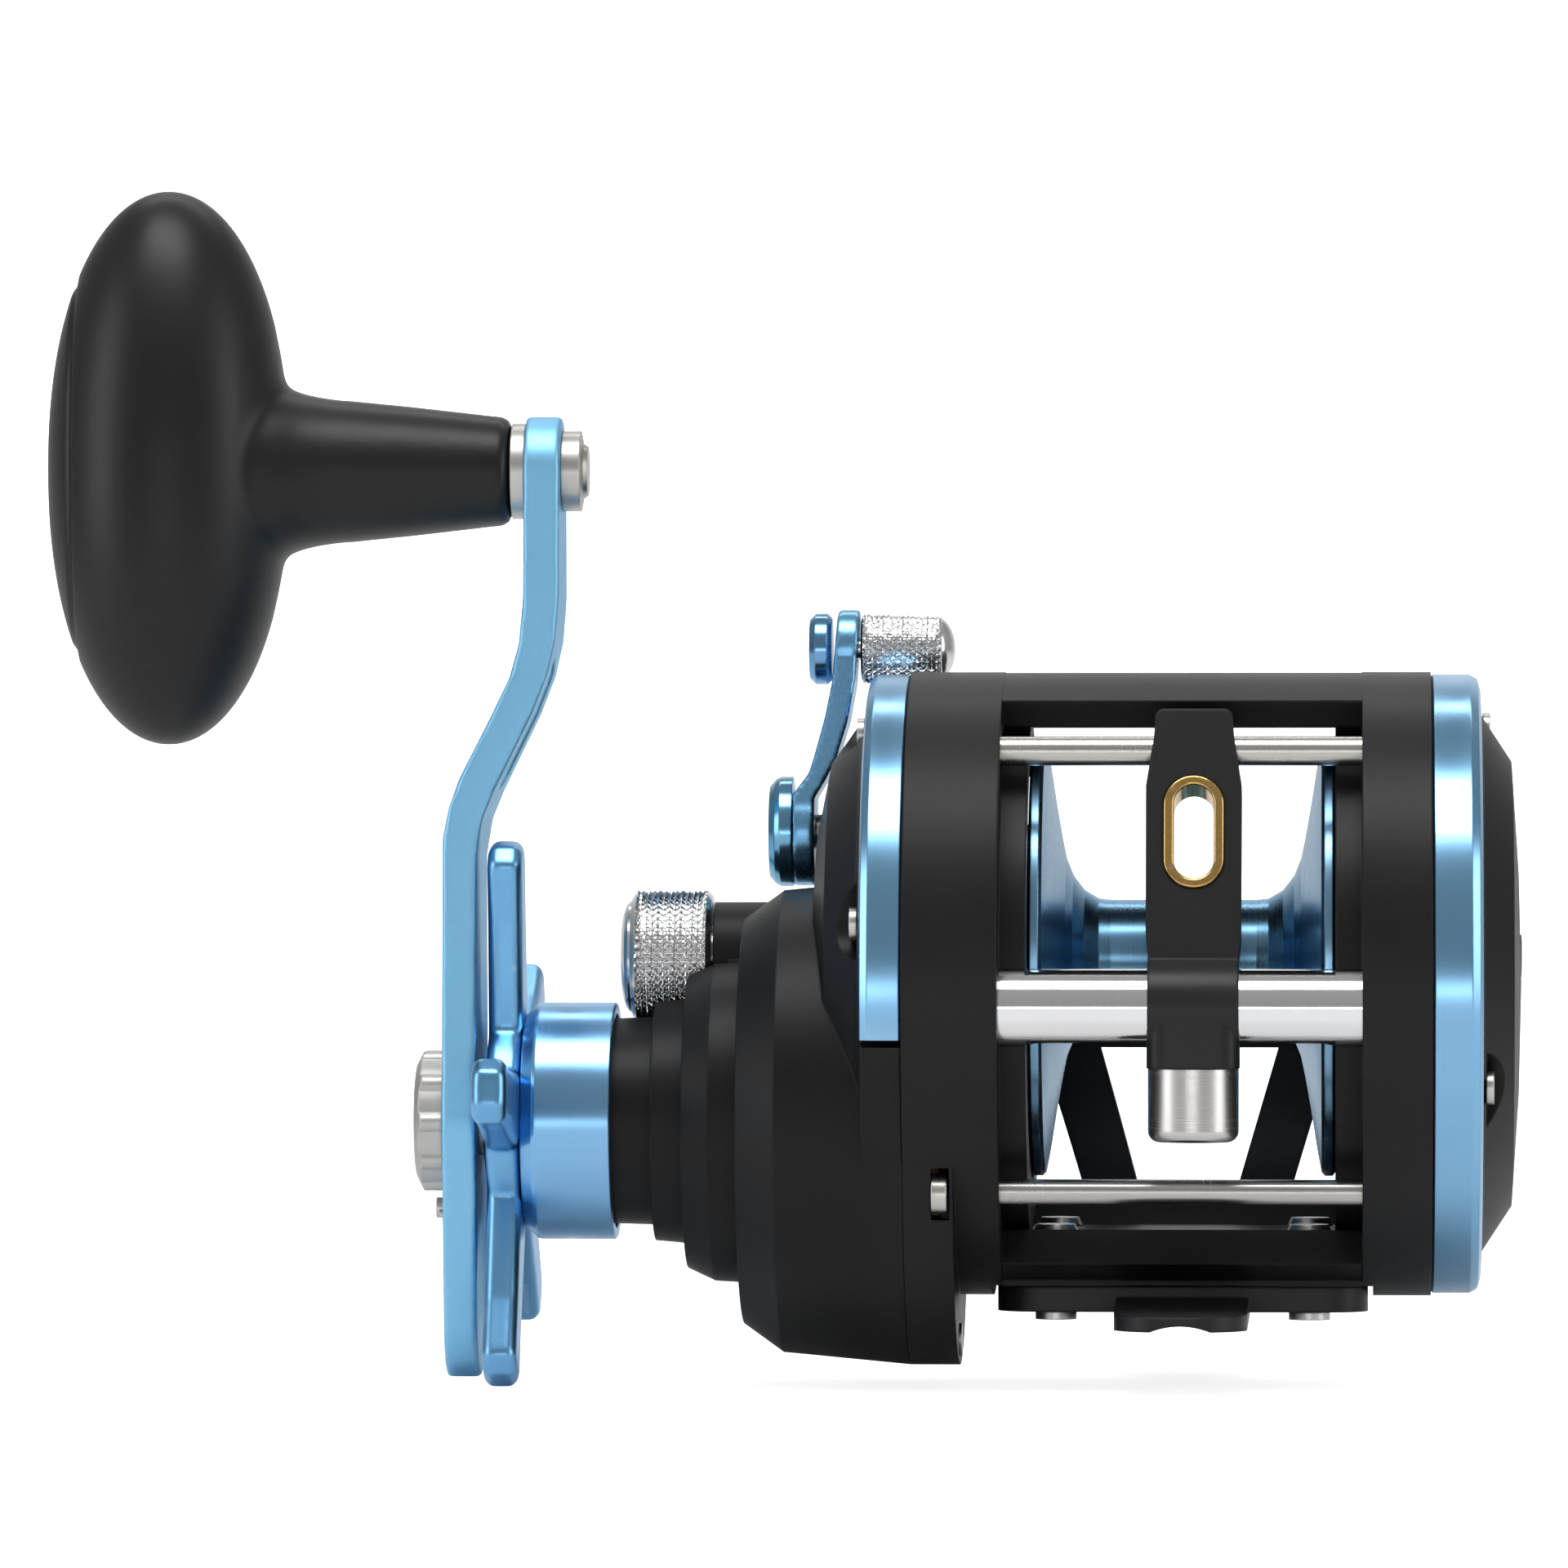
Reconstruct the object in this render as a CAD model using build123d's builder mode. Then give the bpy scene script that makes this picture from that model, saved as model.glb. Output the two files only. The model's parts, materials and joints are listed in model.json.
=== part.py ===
from build123d import *
import os
from math import sin, cos, tan, pi, atan2, hypot, radians, sqrt, acos

# A low profile baitcasting fishing reel, one STEP file per piece, in millimetres.
# Origin: centre of the underside of the reel foot. X runs along the spool axis, the handle
# is on -X, the palm side on +X, the line leaves the reel on the -Y (front) side, Z is up.
# Places seen along X are (y, z) pairs.

os.makedirs("parts", exist_ok=True)
CUT = Mode.SUBTRACT

# ---------------------------------------------------------------- driving sizes
RING_Z = 39.2             # height of the frame ring centre
RING = (0, RING_Z)        # frame ring axis
FRAME_R = 36.4            # frame ring outside radius
BAND_R = 36.1             # outside radius of the bands round the side covers
WINDOW_X = 20.8           # half width of the open window
PALM_X = 28.8             # outer face of the palm side frame ring
GEAR_X = -31.7            # outer face of the gear side frame ring
LIP_X = 17.7              # inner end of the lips round the spool flanges
OVERLAP = 0.1             # how far crossbars and lips run into the rings
BAR_X = (-WINDOW_X - OVERLAP, WINDOW_X + OVERLAP)
SEAM = 0.05               # gap between a side cover and the frame
PALM_SEAM = PALM_X + SEAM
GEAR_SEAM = GEAR_X - SEAM
RUNNING = 0.03            # radial clearance of running fits
SNUG = 0.02               # radial clearance of close fits

SPOOL = (3.0, RING_Z + 3.0)
DRIVE = (-2.2, RING_Z - 16.1)
WORM = (-29.2, RING_Z - 2.2)
LEVER = (10.0, RING_Z + 17.7)         # clutch lever pivot
GRIP = (14.0, RING_Z + 39.3)          # clutch lever grip
KNOB = (-2.2, RING_Z + 59.9)          # handle knob
UPPER_ROD = (-20.5, RING_Z + 27.1)
LOWER_ROD = (-24.0, RING_Z - 23.5)
DOG = (14.5, DRIVE[1] - 4.0)          # anti-reverse dog pivot
CLICK = (15.5, SPOOL[1])              # line click button
POSTS = [(SPOOL[0] + dy, SPOOL[1]) for dy in (-10, 10)]    # clutch yoke posts

UPPER_ROD_R = 1.7
LOWER_ROD_R = 1.45
TUBE_R = 4.4              # level wind tube
WORM_END_R = 1.5
STUD_R = 1.5              # idler stud
POST_R = 1.2              # yoke posts and dog stud
SPOOL_SHAFT_R = 2.5
SPOOL_END_R = 1.6         # thin ends of the spool shaft
DRIVE_R = 4.0
DRIVE_TIP_R = 2.5         # inner end of the drive shaft
BUSHED_R = 5.0            # drive shaft inside its bushing
BUSHING_R = 8.0           # bore that holds the bushing
RACE_R = 5.5              # spool bearing seats
KNOB_PIN_R = 2.5

BASE_CENTRE = (1.5, RING_Z - 31.85)
BASE_HEIGHT = 6.1
BASE_TOP = BASE_CENTRE[1] + BASE_HEIGHT / 2
RIVET_R = 1.5
RIVETS = [(x, y) for x in (-14.7, 14.7) for y in (-8.5, 11.5)]     # (x, y)

SCREW_R = 1.1             # side cover screws
SCREW_HEAD_R = 1.9
HOUSING_SCREW = (-28.2, RING_Z - 23.6)
LOWER_SCREW = (-6.0, RING_Z - 41.4)
HOUSING_SCREW_R = 0.6


# ---------------------------------------------------------------- helpers
def plane_x(x, centre=(0, 0)):
    """Sketch plane facing +X, with sketch axes along Y and Z."""
    return Plane(origin=(x, *centre), x_dir=(0, 1, 0), z_dir=(1, 0, 0))


def plane_y(y):
    """Sketch plane facing -Y, with sketch axes along X and Z."""
    return Plane(origin=(0, y, 0), x_dir=(1, 0, 0), z_dir=(0, -1, 0))


def moved(points, origin):
    return [(origin[0] + a, origin[1] + b) for a, b in points]


def polar(radius, angle, centre=(0, 0)):
    """Point at an angle in radians, measured from +Y towards +Z."""
    return (centre[0] + radius * cos(angle), centre[1] + radius * sin(angle))


def pitch_circle(count, radius, centre, turn=0):
    """Evenly spaced places; turn is the first one's angle in pitches."""
    return [polar(radius, 2 * pi * (k + turn) / count, centre) for k in range(count)]


def turned(profile, centre, mode=Mode.ADD):
    """Revolve an (x, radius) profile about the X-parallel axis through centre."""
    plane = Plane(origin=(0, *centre), x_dir=(1, 0, 0), z_dir=(0, -1, 0))
    with BuildSketch(plane) as sketch:
        with BuildLine():
            Polyline(*profile, close=True)
        make_face()
    revolve(sketch.sketch, axis=Axis((0, *centre), (1, 0, 0)), mode=mode)


def disc(x0, x1, radius, centre, mode=Mode.ADD, hole=0, taper=0):
    with BuildSketch(plane_x(x0, centre)) as sketch:
        Circle(radius)
        if hole:
            Circle(hole, mode=CUT)
    extrude(sketch.sketch, amount=x1 - x0, taper=taper, mode=mode)


def bore(x0, x1, radius, centre):
    disc(x0, x1, radius, centre, CUT)


def block(x0, x1, centre, width, height, mode=Mode.ADD):
    """Box with its width along Y and height along Z."""
    with BuildSketch(plane_x(x0)) as sketch:
        with Locations(centre):
            Rectangle(width, height)
    extrude(sketch.sketch, amount=x1 - x0, mode=mode)


def extrude_outlines(plane, depth, outlines, mode=Mode.ADD):
    with BuildSketch(plane) as sketch:
        for points in outlines:
            with BuildLine():
                Polyline(*points, close=True)
            make_face()
    extrude(sketch.sketch, amount=depth, mode=mode)


def prism(x0, x1, points):
    extrude_outlines(plane_x(x0), x1 - x0, [points])


def post(z, height, radius, places, mode=Mode.ADD, taper=0):
    """Upright cylinders at (x, y) places."""
    with BuildSketch(Plane.XY.offset(z)) as sketch:
        with Locations(*places):
            Circle(radius)
    extrude(sketch.sketch, amount=height, taper=taper, mode=mode)


def cut_slot(plane, depth, length, width, centre=(0, 0), rotation=0):
    with BuildSketch(plane) as sketch:
        with Locations(centre):
            SlotOverall(length, width, rotation=rotation)
    extrude(sketch.sketch, amount=depth, mode=CUT)


def sector(x0, x1, r0, r1, a0, a1):
    """Annular sector about the ring axis; degrees from +Y towards +Z."""
    start, middle, end = radians(a0), radians((a0 + a1) / 2), radians(a1)
    with BuildSketch(plane_x(x0, RING)) as sketch:
        with BuildLine():
            ThreePointArc(polar(r1, start), polar(r1, middle), polar(r1, end))
            Line(polar(r1, end), polar(r0, end))
            ThreePointArc(polar(r0, end), polar(r0, middle), polar(r0, start))
            Line(polar(r0, start), polar(r1, start))
        make_face()
    extrude(sketch.sketch, amount=x1 - x0)


def crop_to_plan(x0, x1, rounds, outline):
    """Keep what lies inside the (centre, radius) circles and the (y, z) outline."""
    with BuildSketch(plane_x(x0)) as sketch:
        for centre, radius in rounds:
            with Locations(centre):
                Circle(radius)
        with BuildLine():
            Polyline(*outline, close=True)
        make_face()
    extrude(sketch.sketch, amount=x1 - x0, mode=Mode.INTERSECT)


def save(piece, name):
    piece.part.label = name
    export_step(piece.part, f"parts/{name}.step")


# ---------------------------------------------------------------- gears
MODULE = 0.6
PRESSURE_ANGLE = radians(24)
MAIN_TEETH, PINION_TEETH = 55, 11
SPOOL_TEETH, IDLER_TEETH, WORM_TEETH = 15, 39, 16
TRAIN_X = (24.7, 26.9)    # level wind gear train, on the palm side


def gear_outline(teeth, phase, addendum, root, thinning):
    """Involute outline with a tooth centred on angle phase.

    addendum is in modules, root is the tooth width at the root as a share of its width
    at the flank foot, thinning is taken off each flank at the pitch circle.
    """
    pitch_r = MODULE * teeth / 2
    base_r = pitch_r * cos(PRESSURE_ANGLE)
    tip_r = pitch_r + addendum * MODULE
    root_r = pitch_r - 1.15 * MODULE
    foot_r = max(base_r, root_r + 0.02)

    def involute(radius):
        angle = acos(min(1, base_r / radius))
        return tan(angle) - angle

    half = pi / (2 * teeth) - thinning / pitch_r
    radii = [foot_r + (tip_r - foot_r) * t for t in (0, 0.33, 0.66, 1)]
    flank = [(r, half + involute(pitch_r) - involute(r)) for r in radii]
    root_half = flank[0][1] * root
    tooth = [(root_r, -root_half)] + [(r, -a) for r, a in flank]
    tooth += flank[::-1] + [(root_r, root_half)]
    return [polar(r, phase + 2 * pi * k / teeth + a) for k in range(teeth) for r, a in tooth]


def toothed(x0, x1, points, centre, hole=0):
    """Plate with an outline given about its centre."""
    with BuildSketch(plane_x(x0, centre)) as sketch:
        with BuildLine():
            Polyline(*points, close=True)
        make_face()
        if hole:
            Circle(hole, mode=CUT)
    extrude(sketch.sketch, amount=x1 - x0)


def gear(x0, x1, teeth, phase, centre, hole=0, addendum=0.7, root=0.9, thinning=0.06):
    toothed(x0, x1, gear_outline(teeth, phase, addendum, root, thinning), centre, hole)


def direction(a, b):
    return atan2(b[1] - a[1], b[0] - a[0])


def meshed(driver_teeth, driver_phase, teeth, towards):
    """Phase of a gear lying in direction towards from the gear it meshes with."""
    offset = ((towards - driver_phase) / (2 * pi / driver_teeth)) % 1.0
    return towards + pi + (offset + 0.5) * 2 * pi / teeth


# The idler sits where it meshes with both the spool gear and the worm gear.
spool_idler = MODULE * (SPOOL_TEETH + IDLER_TEETH) / 2
idler_worm = MODULE * (IDLER_TEETH + WORM_TEETH) / 2
spool_worm = hypot(WORM[0] - SPOOL[0], WORM[1] - SPOOL[1])
along = (spool_idler ** 2 - idler_worm ** 2 + spool_worm ** 2) / (2 * spool_worm)
aside = sqrt(max(spool_idler ** 2 - along ** 2, 0))
unit_y = (WORM[0] - SPOOL[0]) / spool_worm
unit_z = (WORM[1] - SPOOL[1]) / spool_worm
IDLER = (SPOOL[0] + along * unit_y + aside * unit_z,
         SPOOL[1] + along * unit_z - aside * unit_y)

MAIN_PHASE = direction(DRIVE, SPOOL)
PINION_PHASE = meshed(MAIN_TEETH, MAIN_PHASE, PINION_TEETH, MAIN_PHASE)
SPOOL_PHASE = direction(SPOOL, IDLER)
IDLER_PHASE = meshed(SPOOL_TEETH, SPOOL_PHASE, IDLER_TEETH, SPOOL_PHASE)
WORM_PHASE = meshed(IDLER_TEETH, IDLER_PHASE, WORM_TEETH, direction(IDLER, WORM))

# ================================================================ frame
# Windows through the rear brace, (x, z from the ring centre)
BRACE_WINDOWS = (
    [(-10.4, -8.3), (10.9, -8.3), (6.0, -25.0), (5.4, -26.4), (-5.0, -26.4), (-5.6, -25.0)],
    [(-WINDOW_X, -8.3), (-17.6, -8.3), (-12.1, -25.0), (-11.4, -26.4), (-WINDOW_X, -26.4)],
    [(WINDOW_X, -8.3), (17.6, -8.3), (12.5, -25.0), (11.8, -26.4), (WINDOW_X, -26.4)],
)
BAR_R = FRAME_R - 0.08    # outside radius of the top bar and rear brace
WALL_X = 23.8             # inner walls of the side housings, on both sides
HOUSING_R = 34.9          # inside radius of the side housings

# rear brace: a curved wall with a cross rail and two legs that lean inwards
with BuildPart() as rear_brace:
    sector(*BAR_X, 33.2, BAR_R, -68, 1.5)
    for window in BRACE_WINDOWS:
        extrude_outlines(plane_y(40), 24, [moved(window, RING)], CUT)

with BuildPart() as frame:
    # rings, drive housing and the lips round the spool flanges
    disc(WINDOW_X, PALM_X, FRAME_R, RING)
    disc(GEAR_X, -WINDOW_X, FRAME_R, RING)
    disc(GEAR_X, -26.0, 28.4, DRIVE)
    disc(LIP_X, BAR_X[1], 30.4, RING)
    disc(BAR_X[0], -LIP_X, 30.4, RING)
    # top and lower front crossbars, base and rear brace
    sector(*BAR_X, 33.0, BAR_R, 65, 115)
    sector(*BAR_X, 31.8, 36.2, 242.5, 253)
    block(*BAR_X, BASE_CENTRE, 27, BASE_HEIGHT)
    add(rear_brace.part)
    # slot in the base
    cut_slot(Plane.XY.offset(RING_Z - 37), 10, 23, 4.6, (0, -7.0))
    # inside of the side and drive housings
    bore(WALL_X, PALM_X + 1, HOUSING_R, RING)
    bore(GEAR_X - 1, -WALL_X, HOUSING_R, RING)
    bore(GEAR_X - 1, -27.5, 26.4, DRIVE)
    # spool well
    bore(-WINDOW_X, WINDOW_X, 26.2, SPOOL)
    # bearing, shaft, level wind, rod, idler stud and yoke post seats
    bore(-24, -WINDOW_X + 0.5, RACE_R, SPOOL)
    bore(WINDOW_X - 0.5, 24, RACE_R, SPOOL)
    bore(-24, -22.0, DRIVE_TIP_R + RUNNING, DRIVE)
    bore(-22.4, 22.4, TUBE_R + SNUG, WORM)
    bore(22.0, 24, WORM_END_R + RUNNING, WORM)
    bore(-24, -22.0, WORM_END_R + RUNNING, WORM)
    bore(-22.6, 22.6, UPPER_ROD_R + SNUG, UPPER_ROD)
    bore(-22.6, 22.6, LOWER_ROD_R + SNUG, LOWER_ROD)
    bore(23.0, 24, STUD_R + SNUG, IDLER)
    for place in POSTS:
        bore(-24, -22.6, POST_R + SNUG, place)
    # foot rivet holes and their wider tops
    post(RING_Z - 36.5, 10, RIVET_R + SNUG, RIVETS, CUT)
    post(BASE_TOP, 4, 2.95, RIVETS, CUT)
    # pockets for the housing screws
    block(-28.5, -26.4, (-30, HOUSING_SCREW[1]), 8, 6, CUT)
    bore(-31.8, -28, HOUSING_SCREW_R + SNUG, HOUSING_SCREW)
    bore(-27.3, -25.9, 2.0, LOWER_SCREW)
    # flat underside where the foot is fastened
    with BuildSketch(Plane.XY.offset(RING_Z - 36.6)) as underside:
        with Locations((0, BASE_CENTRE[0])):
            Rectangle(44.2, 27.5)
    extrude(underside.sketch, amount=1.7, mode=CUT)
save(frame, "frame")

# ================================================================ side covers
GEAR_SCREW_ANGLES = (166.0, 30.0, 106.0)      # degrees about the ring axis
PALM_SCREW_ANGLES = (202.3, 322.3, 82.3)


def around_ring(radius, angles):
    return [polar(radius, radians(a), RING) for a in angles]


GEAR_SCREWS = around_ring(30.2, GEAR_SCREW_ANGLES)
PALM_SCREWS = around_ring(30.0, PALM_SCREW_ANGLES)
GEAR_SCALLOPS = around_ring(33.0, GEAR_SCREW_ANGLES)
PALM_SCALLOPS = around_ring(33.0, PALM_SCREW_ANGLES)
COVER_R = 32.6
BAND_INNER_R = COVER_R + 0.05

# Cover profiles, (x, radius)
GEAR_DOME = [(GEAR_SEAM, 0), (GEAR_SEAM, COVER_R), (-36.5, COVER_R), (-37.2, 31.2),
             (-41.0, 25.9), (-42.6, 18.0), (-43.2, 8), (-43.2, 0)]
GEAR_DOME_INSIDE = [(-31, 0), (-31, 30.6), (-35.2, 30.4), (-35.7, 27.7), (-39.2, 25.1),
                    (-40.8, 18.0), (-41.3, 8), (-41.3, 0)]
DRIVE_DOME = [(GEAR_SEAM, 0), (GEAR_SEAM, 28.4), (-46.6, 27.0), (-51.2, 23.7), (-51.2, 0)]
DRIVE_DOME_INSIDE = [(-31, 0), (-31, 26.4), (-45.6, 25.0), (-49.2, 22.3), (-49.2, 0)]
DRIVE_COLLAR = [(-51.0, 0), (-51.0, 18.9), (-54.6, 18.7), (-57.8, 17.2), (-57.8, 14.35),
                (-61.6, 14.0), (-61.6, 12.15), (-66.9, 12.0), (-66.9, 0)]
PALM_DOME = [(PALM_SEAM, 0), (PALM_SEAM, COVER_R), (34.2, COVER_R), (34.8, 31.2),
             (38.2, 26.0), (39.0, 14.0), (39.4, 0)]
PALM_DOME_INSIDE = [(28, 0), (28, 30.6), (32.2, 30.4), (33.7, 28.6), (33.9, 26.6),
                    (36.6, 23.0), (37.0, 13.0), (37.3, 0)]

with BuildPart() as gear_side_cover:
    turned(GEAR_DOME, RING)
    turned(DRIVE_DOME, DRIVE)
    sector(-36.4, GEAR_SEAM, 30.6, BAND_R, 190.8, 349.2)
    turned(DRIVE_COLLAR, DRIVE)
    # recess round the spool tension knob, and its boss
    bore(-70, -53.2, 8.25, SPOOL)
    disc(-55.0, -43.0, 6.45, SPOOL)
    # hollow inside
    turned(GEAR_DOME_INSIDE, RING, CUT)
    turned(DRIVE_DOME_INSIDE, DRIVE, CUT)
    # bores for the drive bushing, tension knob and clutch lever cam
    bore(-68, -48, BUSHING_R, DRIVE)
    bore(-56, -48, 4.0, SPOOL)
    bore(-44, -38, 2.0 + RUNNING, LEVER)
    for scallop, screw in zip(GEAR_SCALLOPS, GEAR_SCREWS):
        bore(-46, -36.9, 5.0, scallop)
        bore(-46, -31, SCREW_R + SNUG, screw)
save(gear_side_cover, "gear_side_cover")

# band round the upper part of the gear side cover
with BuildPart() as gear_side_ring:
    turned([(GEAR_SEAM, BAND_INNER_R), (GEAR_SEAM, 35.9), (-32.0, BAND_R), (-35.6, BAND_R),
            (-36.4, 35.6), (-36.65, 34.6), (-36.65, BAND_INNER_R)], RING)
    block(-38, -30, (0, RING_Z - 25.9), 90, 40, CUT)
save(gear_side_ring, "gear_side_ring")

with BuildPart() as palm_side_ring:
    turned([(PALM_SEAM, BAND_INNER_R), (PALM_SEAM, 35.9), (29.1, BAND_R), (33.3, BAND_R),
            (34.2, 35.6), (34.55, 34.5), (34.55, BAND_INNER_R)], RING)
save(palm_side_ring, "palm_side_ring")

with BuildPart() as palm_side_cover:
    turned(PALM_DOME, RING)
    turned(PALM_DOME_INSIDE, RING, CUT)
    for scallop, screw in zip(PALM_SCALLOPS, PALM_SCREWS):
        bore(34.9, 41, 5.2, scallop)
        bore(28.0, 41, SCREW_R + SNUG, screw)
    # slot for the line click button
    cut_slot(plane_x(35, (14.0, CLICK[1])), 6, 9.0, 3.2)
save(palm_side_cover, "palm_side_cover")

with BuildPart() as gear_cover_screws:
    for screw in GEAR_SCREWS:
        disc(-37.8, -36.92, SCREW_HEAD_R, screw)
        disc(-36.93, -33.4, SCREW_R, screw)
save(gear_cover_screws, "gear_cover_screws")

with BuildPart() as palm_cover_screws:
    for screw in PALM_SCREWS:
        disc(34.92, 35.8, SCREW_HEAD_R, screw)
        disc(31.6, 34.93, SCREW_R, screw)
save(palm_cover_screws, "palm_cover_screws")

# a cross-slotted screw, and a plain head lower down
with BuildPart() as housing_screws:
    disc(-28.45, -26.7, 2.2, HOUSING_SCREW)
    disc(-31.6, -28.4, HOUSING_SCREW_R, HOUSING_SCREW)
    for width, height in ((2.6, 0.5), (0.5, 2.6)):
        block(-27.3, -26.3, HOUSING_SCREW, width, height, CUT)
    disc(-27.25, -25.7, 1.9, LOWER_SCREW)
save(housing_screws, "housing_screws")

# ================================================================ foot
# Wedges taken off the top of the blade towards its ends, (y, z)
FOOT_RAMPS = (
    [(-40, 4), (-40, 1.6), (-33, 1.7), (-14, 2.9), (-14, 5)],
    [(42, 4), (42, 1.6), (35, 1.7), (17, 2.9), (17, 5)],
)

with BuildPart() as reel_foot:
    # pad under the base
    with BuildSketch(Plane.XY.offset(1.3)) as pad:
        with Locations((0, BASE_CENTRE[0])):
            RectangleRounded(43.0, 26.6, 5.0)
    extrude(pad.sketch, amount=2.95)
    # long blade
    with BuildSketch(Plane.XY) as blade:
        with Locations((0, 1.0)):
            RectangleRounded(15.3, 68, 6.5)
    extrude(blade.sketch, amount=2.9)
    extrude_outlines(plane_x(-9), 18, FOOT_RAMPS, CUT)
    # shallow saddle along the underside; this sketch's second axis points down
    saddle_plane = Plane(origin=(0, -40, 0), x_dir=(1, 0, 0), z_dir=(0, 1, 0))
    with BuildSketch(saddle_plane) as saddle:
        with Locations((0, 8.15)):
            Circle(8.85)
    extrude(saddle.sketch, amount=66, mode=CUT)
    post(0.5, 5, RIVET_R + SNUG, RIVETS, CUT)
save(reel_foot, "reel_foot")

RIVET_HEAD = (0.35, 0.93)     # bottom z and height
SHANK_Z = sum(RIVET_HEAD)
with BuildPart() as foot_rivets:
    post(*RIVET_HEAD, 2.4, RIVETS)
    post(SHANK_Z, BASE_TOP - SHANK_Z, RIVET_R, RIVETS)
    post(BASE_TOP, 1.0, 2.7, RIVETS, taper=25)
save(foot_rivets, "foot_rivets")

# ================================================================ rods and level wind
CARRIAGE_X = 1.5          # centre of the line guide
CARRIAGE = [(CARRIAGE_X, WORM[0])]    # its (x, y) place, for upright cylinders
ROD_REACH = hypot(UPPER_ROD[0] - WORM[0], UPPER_ROD[1] - WORM[1])
LEAN = atan2(UPPER_ROD[0] - WORM[0], UPPER_ROD[1] - WORM[1])
PAWL_R = 1.5
EYE_CENTRE = (0, 20.2)    # on the guide plane
EYE_LENGTH, EYE_WIDTH = 13.5, 7.0

with BuildPart() as upper_guide_rod:
    disc(-22.5, 22.5, UPPER_ROD_R, UPPER_ROD)
save(upper_guide_rod, "upper_guide_rod")

with BuildPart() as lower_guide_rod:
    disc(-22.5, 22.5, LOWER_ROD_R, LOWER_ROD)
save(lower_guide_rod, "lower_guide_rod")

# tube round the worm, slotted along its underside
with BuildPart() as level_wind_tube:
    disc(-22.0, 22.0, TUBE_R, WORM, hole=3.55)
    cut_slot(Plane.XY.offset(WORM[1] - 6), 6, 35.0, 3.3, (0, WORM[0]))
save(level_wind_tube, "level_wind_tube")

# shaft with a row of ring grooves
with BuildPart() as worm_shaft:
    turned([(-23.7, 0), (-23.7, WORM_END_R), (-20.5, WORM_END_R), (-20.5, 2.0), (-19.5, 3.0),
            (19.5, 3.0), (20.5, 2.0), (20.5, WORM_END_R), (27.6, WORM_END_R), (27.6, 0)], WORM)
    for k in range(11):
        x = -15.0 + 3.0 * k
        turned([(x - 0.6, 2.6), (x + 0.6, 2.6), (x + 0.6, 3.5), (x - 0.6, 3.5)], WORM, CUT)
save(worm_shaft, "worm_shaft")

with BuildPart() as worm_gear:
    gear(*TRAIN_X, WORM_TEETH, WORM_PHASE, WORM, WORM_END_R + SNUG)
save(worm_gear, "worm_gear")

with BuildPart() as idler_gear:
    gear(*TRAIN_X, IDLER_TEETH, IDLER_PHASE, IDLER, STUD_R + RUNNING)
    for place in pitch_circle(5, 6.4, IDLER):
        bore(24, 28, 2.0, place)
save(idler_gear, "idler_gear")

with BuildPart() as idler_stud:
    disc(23.05, 27.1, STUD_R, IDLER)
    disc(27.1, 27.9, 2.4, IDLER)
save(idler_stud, "idler_stud")

# The guide plane leans back through the worm and upper rod axes; its second axis points
# from the worm to the rod.
guide_plane = Plane(origin=(CARRIAGE_X, *WORM), x_dir=(1, 0, 0),
                    z_dir=(0, -cos(LEAN), sin(LEAN)))
# Carriage outline on the guide plane, (x from its centre, distance up from the worm axis)
GUIDE_OUTLINE = [
    (-4.4, ROD_REACH + 4.4), (4.4, ROD_REACH + 4.4), (4.6, ROD_REACH + 1.0),
    (5.5, ROD_REACH - 4.8), (5.45, 8.2), (5.2, 5.8), (5.2, -6.4),
    (-5.2, -6.4), (-5.2, 5.8), (-5.45, 8.2), (-5.5, ROD_REACH - 4.8), (-4.6, ROD_REACH + 1.0),
]

# carriage: tilted body running on the level wind tube and the upper rod
with BuildPart() as line_guide:
    with BuildSketch(guide_plane.offset(-2.3)) as guide_body:
        with BuildLine():
            Polyline(*GUIDE_OUTLINE, close=True)
        make_face()
        fillet(guide_body.vertices().group_by(Axis.Z)[-1], 1.0)
    extrude(guide_body.sketch, amount=4.6)
    disc(CARRIAGE_X - 5.2, CARRIAGE_X + 5.2, 5.5, WORM)
    # square block above the pawl cap
    with BuildSketch(Plane.XY.offset(WORM[1] - 6.9)) as pawl_block:
        with Locations(*CARRIAGE):
            RectangleRounded(10.6, 10.6, 2.2)
    extrude(pawl_block.sketch, amount=6.6)
    # line eye, then the tube, rod and pawl bores
    cut_slot(guide_plane.offset(-5), 10, EYE_LENGTH, EYE_WIDTH, EYE_CENTRE, rotation=90)
    bore(CARRIAGE_X - 8, CARRIAGE_X + 8, TUBE_R + 0.06, WORM)
    bore(CARRIAGE_X - 8, CARRIAGE_X + 8, UPPER_ROD_R + 0.08, UPPER_ROD)
    post(WORM[1] - 12, 9, PAWL_R + RUNNING, CARRIAGE, CUT)
save(line_guide, "line_guide")

with BuildPart() as line_eyelet:
    with BuildSketch(guide_plane.offset(-2.7)) as eye_ring:
        with Locations(EYE_CENTRE):
            SlotOverall(EYE_LENGTH - 0.04, EYE_WIDTH - 0.04, rotation=90)
            SlotOverall(11.2, 4.6, rotation=90, mode=CUT)
    extrude(eye_ring.sketch, amount=5.4)
    fillet(line_eyelet.edges().filter_by(GeomType.CIRCLE), 0.3)
save(line_eyelet, "line_eyelet")

with BuildPart() as pawl_cap:
    post(WORM[1] - 15.4, 8.45, 5.2, CARRIAGE)
    fillet(pawl_cap.edges().group_by(Axis.Z)[0], 1.3)
    post(WORM[1] - 10.5, 4, 1.9, CARRIAGE, CUT)
save(pawl_cap, "pawl_cap")

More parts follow.
